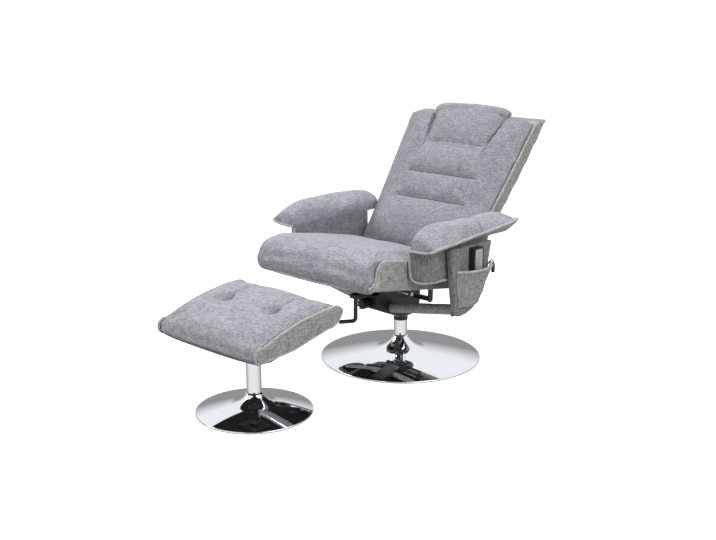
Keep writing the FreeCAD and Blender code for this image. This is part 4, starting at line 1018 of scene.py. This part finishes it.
facing.operation = "DOT_PRODUCT"
facing.inputs[1].default_value = TOWARDS_CAMERA
shifted = sky.nodes.new("ShaderNodeMath")
shifted.inputs[1].default_value = 0.5
sky.links.new(direction.outputs["Generated"], facing.inputs[0])
sky.links.new(facing.outputs["Value"], shifted.inputs[0])
chrome_tint = sky.nodes.new("ShaderNodeMix")
chrome_tint.data_type = "RGBA"
chrome_tint.inputs[7].default_value = OVERHEAD_TINT
sky.links.new(ramp(sky, split.outputs["Z"], RISE_STOPS), chrome_tint.inputs[0])
sky.links.new(ramp(sky, shifted.outputs["Value"], ROUND_STOPS), chrome_tint.inputs[6])
sky.links.new(chrome_tint.outputs[2], chrome_sky.inputs["Color"])
mirrored = sky.nodes.new("ShaderNodeMixShader")
choice = sky.nodes.new("ShaderNodeMixShader")
sky.links.new(rays.outputs["Is Glossy Ray"], mirrored.inputs["Fac"])
sky.links.new(sky_light.outputs["Background"], mirrored.inputs[1])
sky.links.new(chrome_sky.outputs["Background"], mirrored.inputs[2])
sky.links.new(rays.outputs["Is Camera Ray"], choice.inputs["Fac"])
sky.links.new(mirrored.outputs["Shader"], choice.inputs[1])
sky.links.new(backdrop.outputs["Background"], choice.inputs[2])
sky.links.new(choice.outputs["Shader"], sky.nodes["World Output"].inputs["Surface"])
print("world has", len(sky.nodes), "nodes")

# %% [markdown]
# ## Dark card and lights
# A dark card beside the camera gives the chrome its black sweep, as photographers do with black paper. It
# could be a dark patch in the sky, but a card at a real distance moves rightly in the mirror. Three large
# soft lights stand for the studio's lamps, since sharp ones would cut hard shadows into the cloth.

# %% Dark card
CARD_SIZE = (1.5, 3.2, 1)
CARD_PLACE = (1.75, -2.5, 1.1)
upright = Matrix.Rotation(math.radians(90), 4, "X")
card_turn = Matrix.Rotation(CAMERA_ANGLES[2], 4, "Z") @ upright
work = bmesh.new()
bmesh.ops.create_grid(work, x_segments=1, y_segments=1, size=0.5)
bmesh.ops.scale(work, vec=CARD_SIZE, verts=work.verts)
bmesh.ops.transform(work, verts=work.verts, matrix=Matrix.Translation(CARD_PLACE) @ card_turn)
card = to_piece("dark_card", work)
card_paint = new_material("card_paint", (0.01, 0.01, 0.01), 0.9)[0]
card.data.materials.append(card_paint)
card.visible_camera = False
card.visible_diffuse = False
card.visible_shadow = False


# %% Lights
def soft_light(name, place, target, size, power):
    """An area light at a place, turned to a target, with size in metres and power in watts."""
    data = bpy.data.lights.new(name, "AREA")
    data.shape = "RECTANGLE"
    data.size, data.size_y = size
    data.energy = power
    light = bpy.data.objects.new(name, data)
    light.location = place
    light.rotation_mode = "QUATERNION"
    light.rotation_quaternion = (Vector(target) - Vector(place)).to_track_quat("-Z", "Y")
    bpy.context.scene.collection.objects.link(light)
    print(name, power, "W")


soft_light("overhead", (0, 0.2, 3.2), (0, -0.3, 0), (2.4, 2.4), 54)
soft_light("window", (3.0, -0.7, 2.3), (0, -0.4, 0.4), (1.8, 1.6), 39)
soft_light("key", (-2.4, -2.2, 2.2), (0, -0.4, 0.4), (0.9, 0.9), 44)
bpy.context.scene.view_settings.view_transform = "Standard"
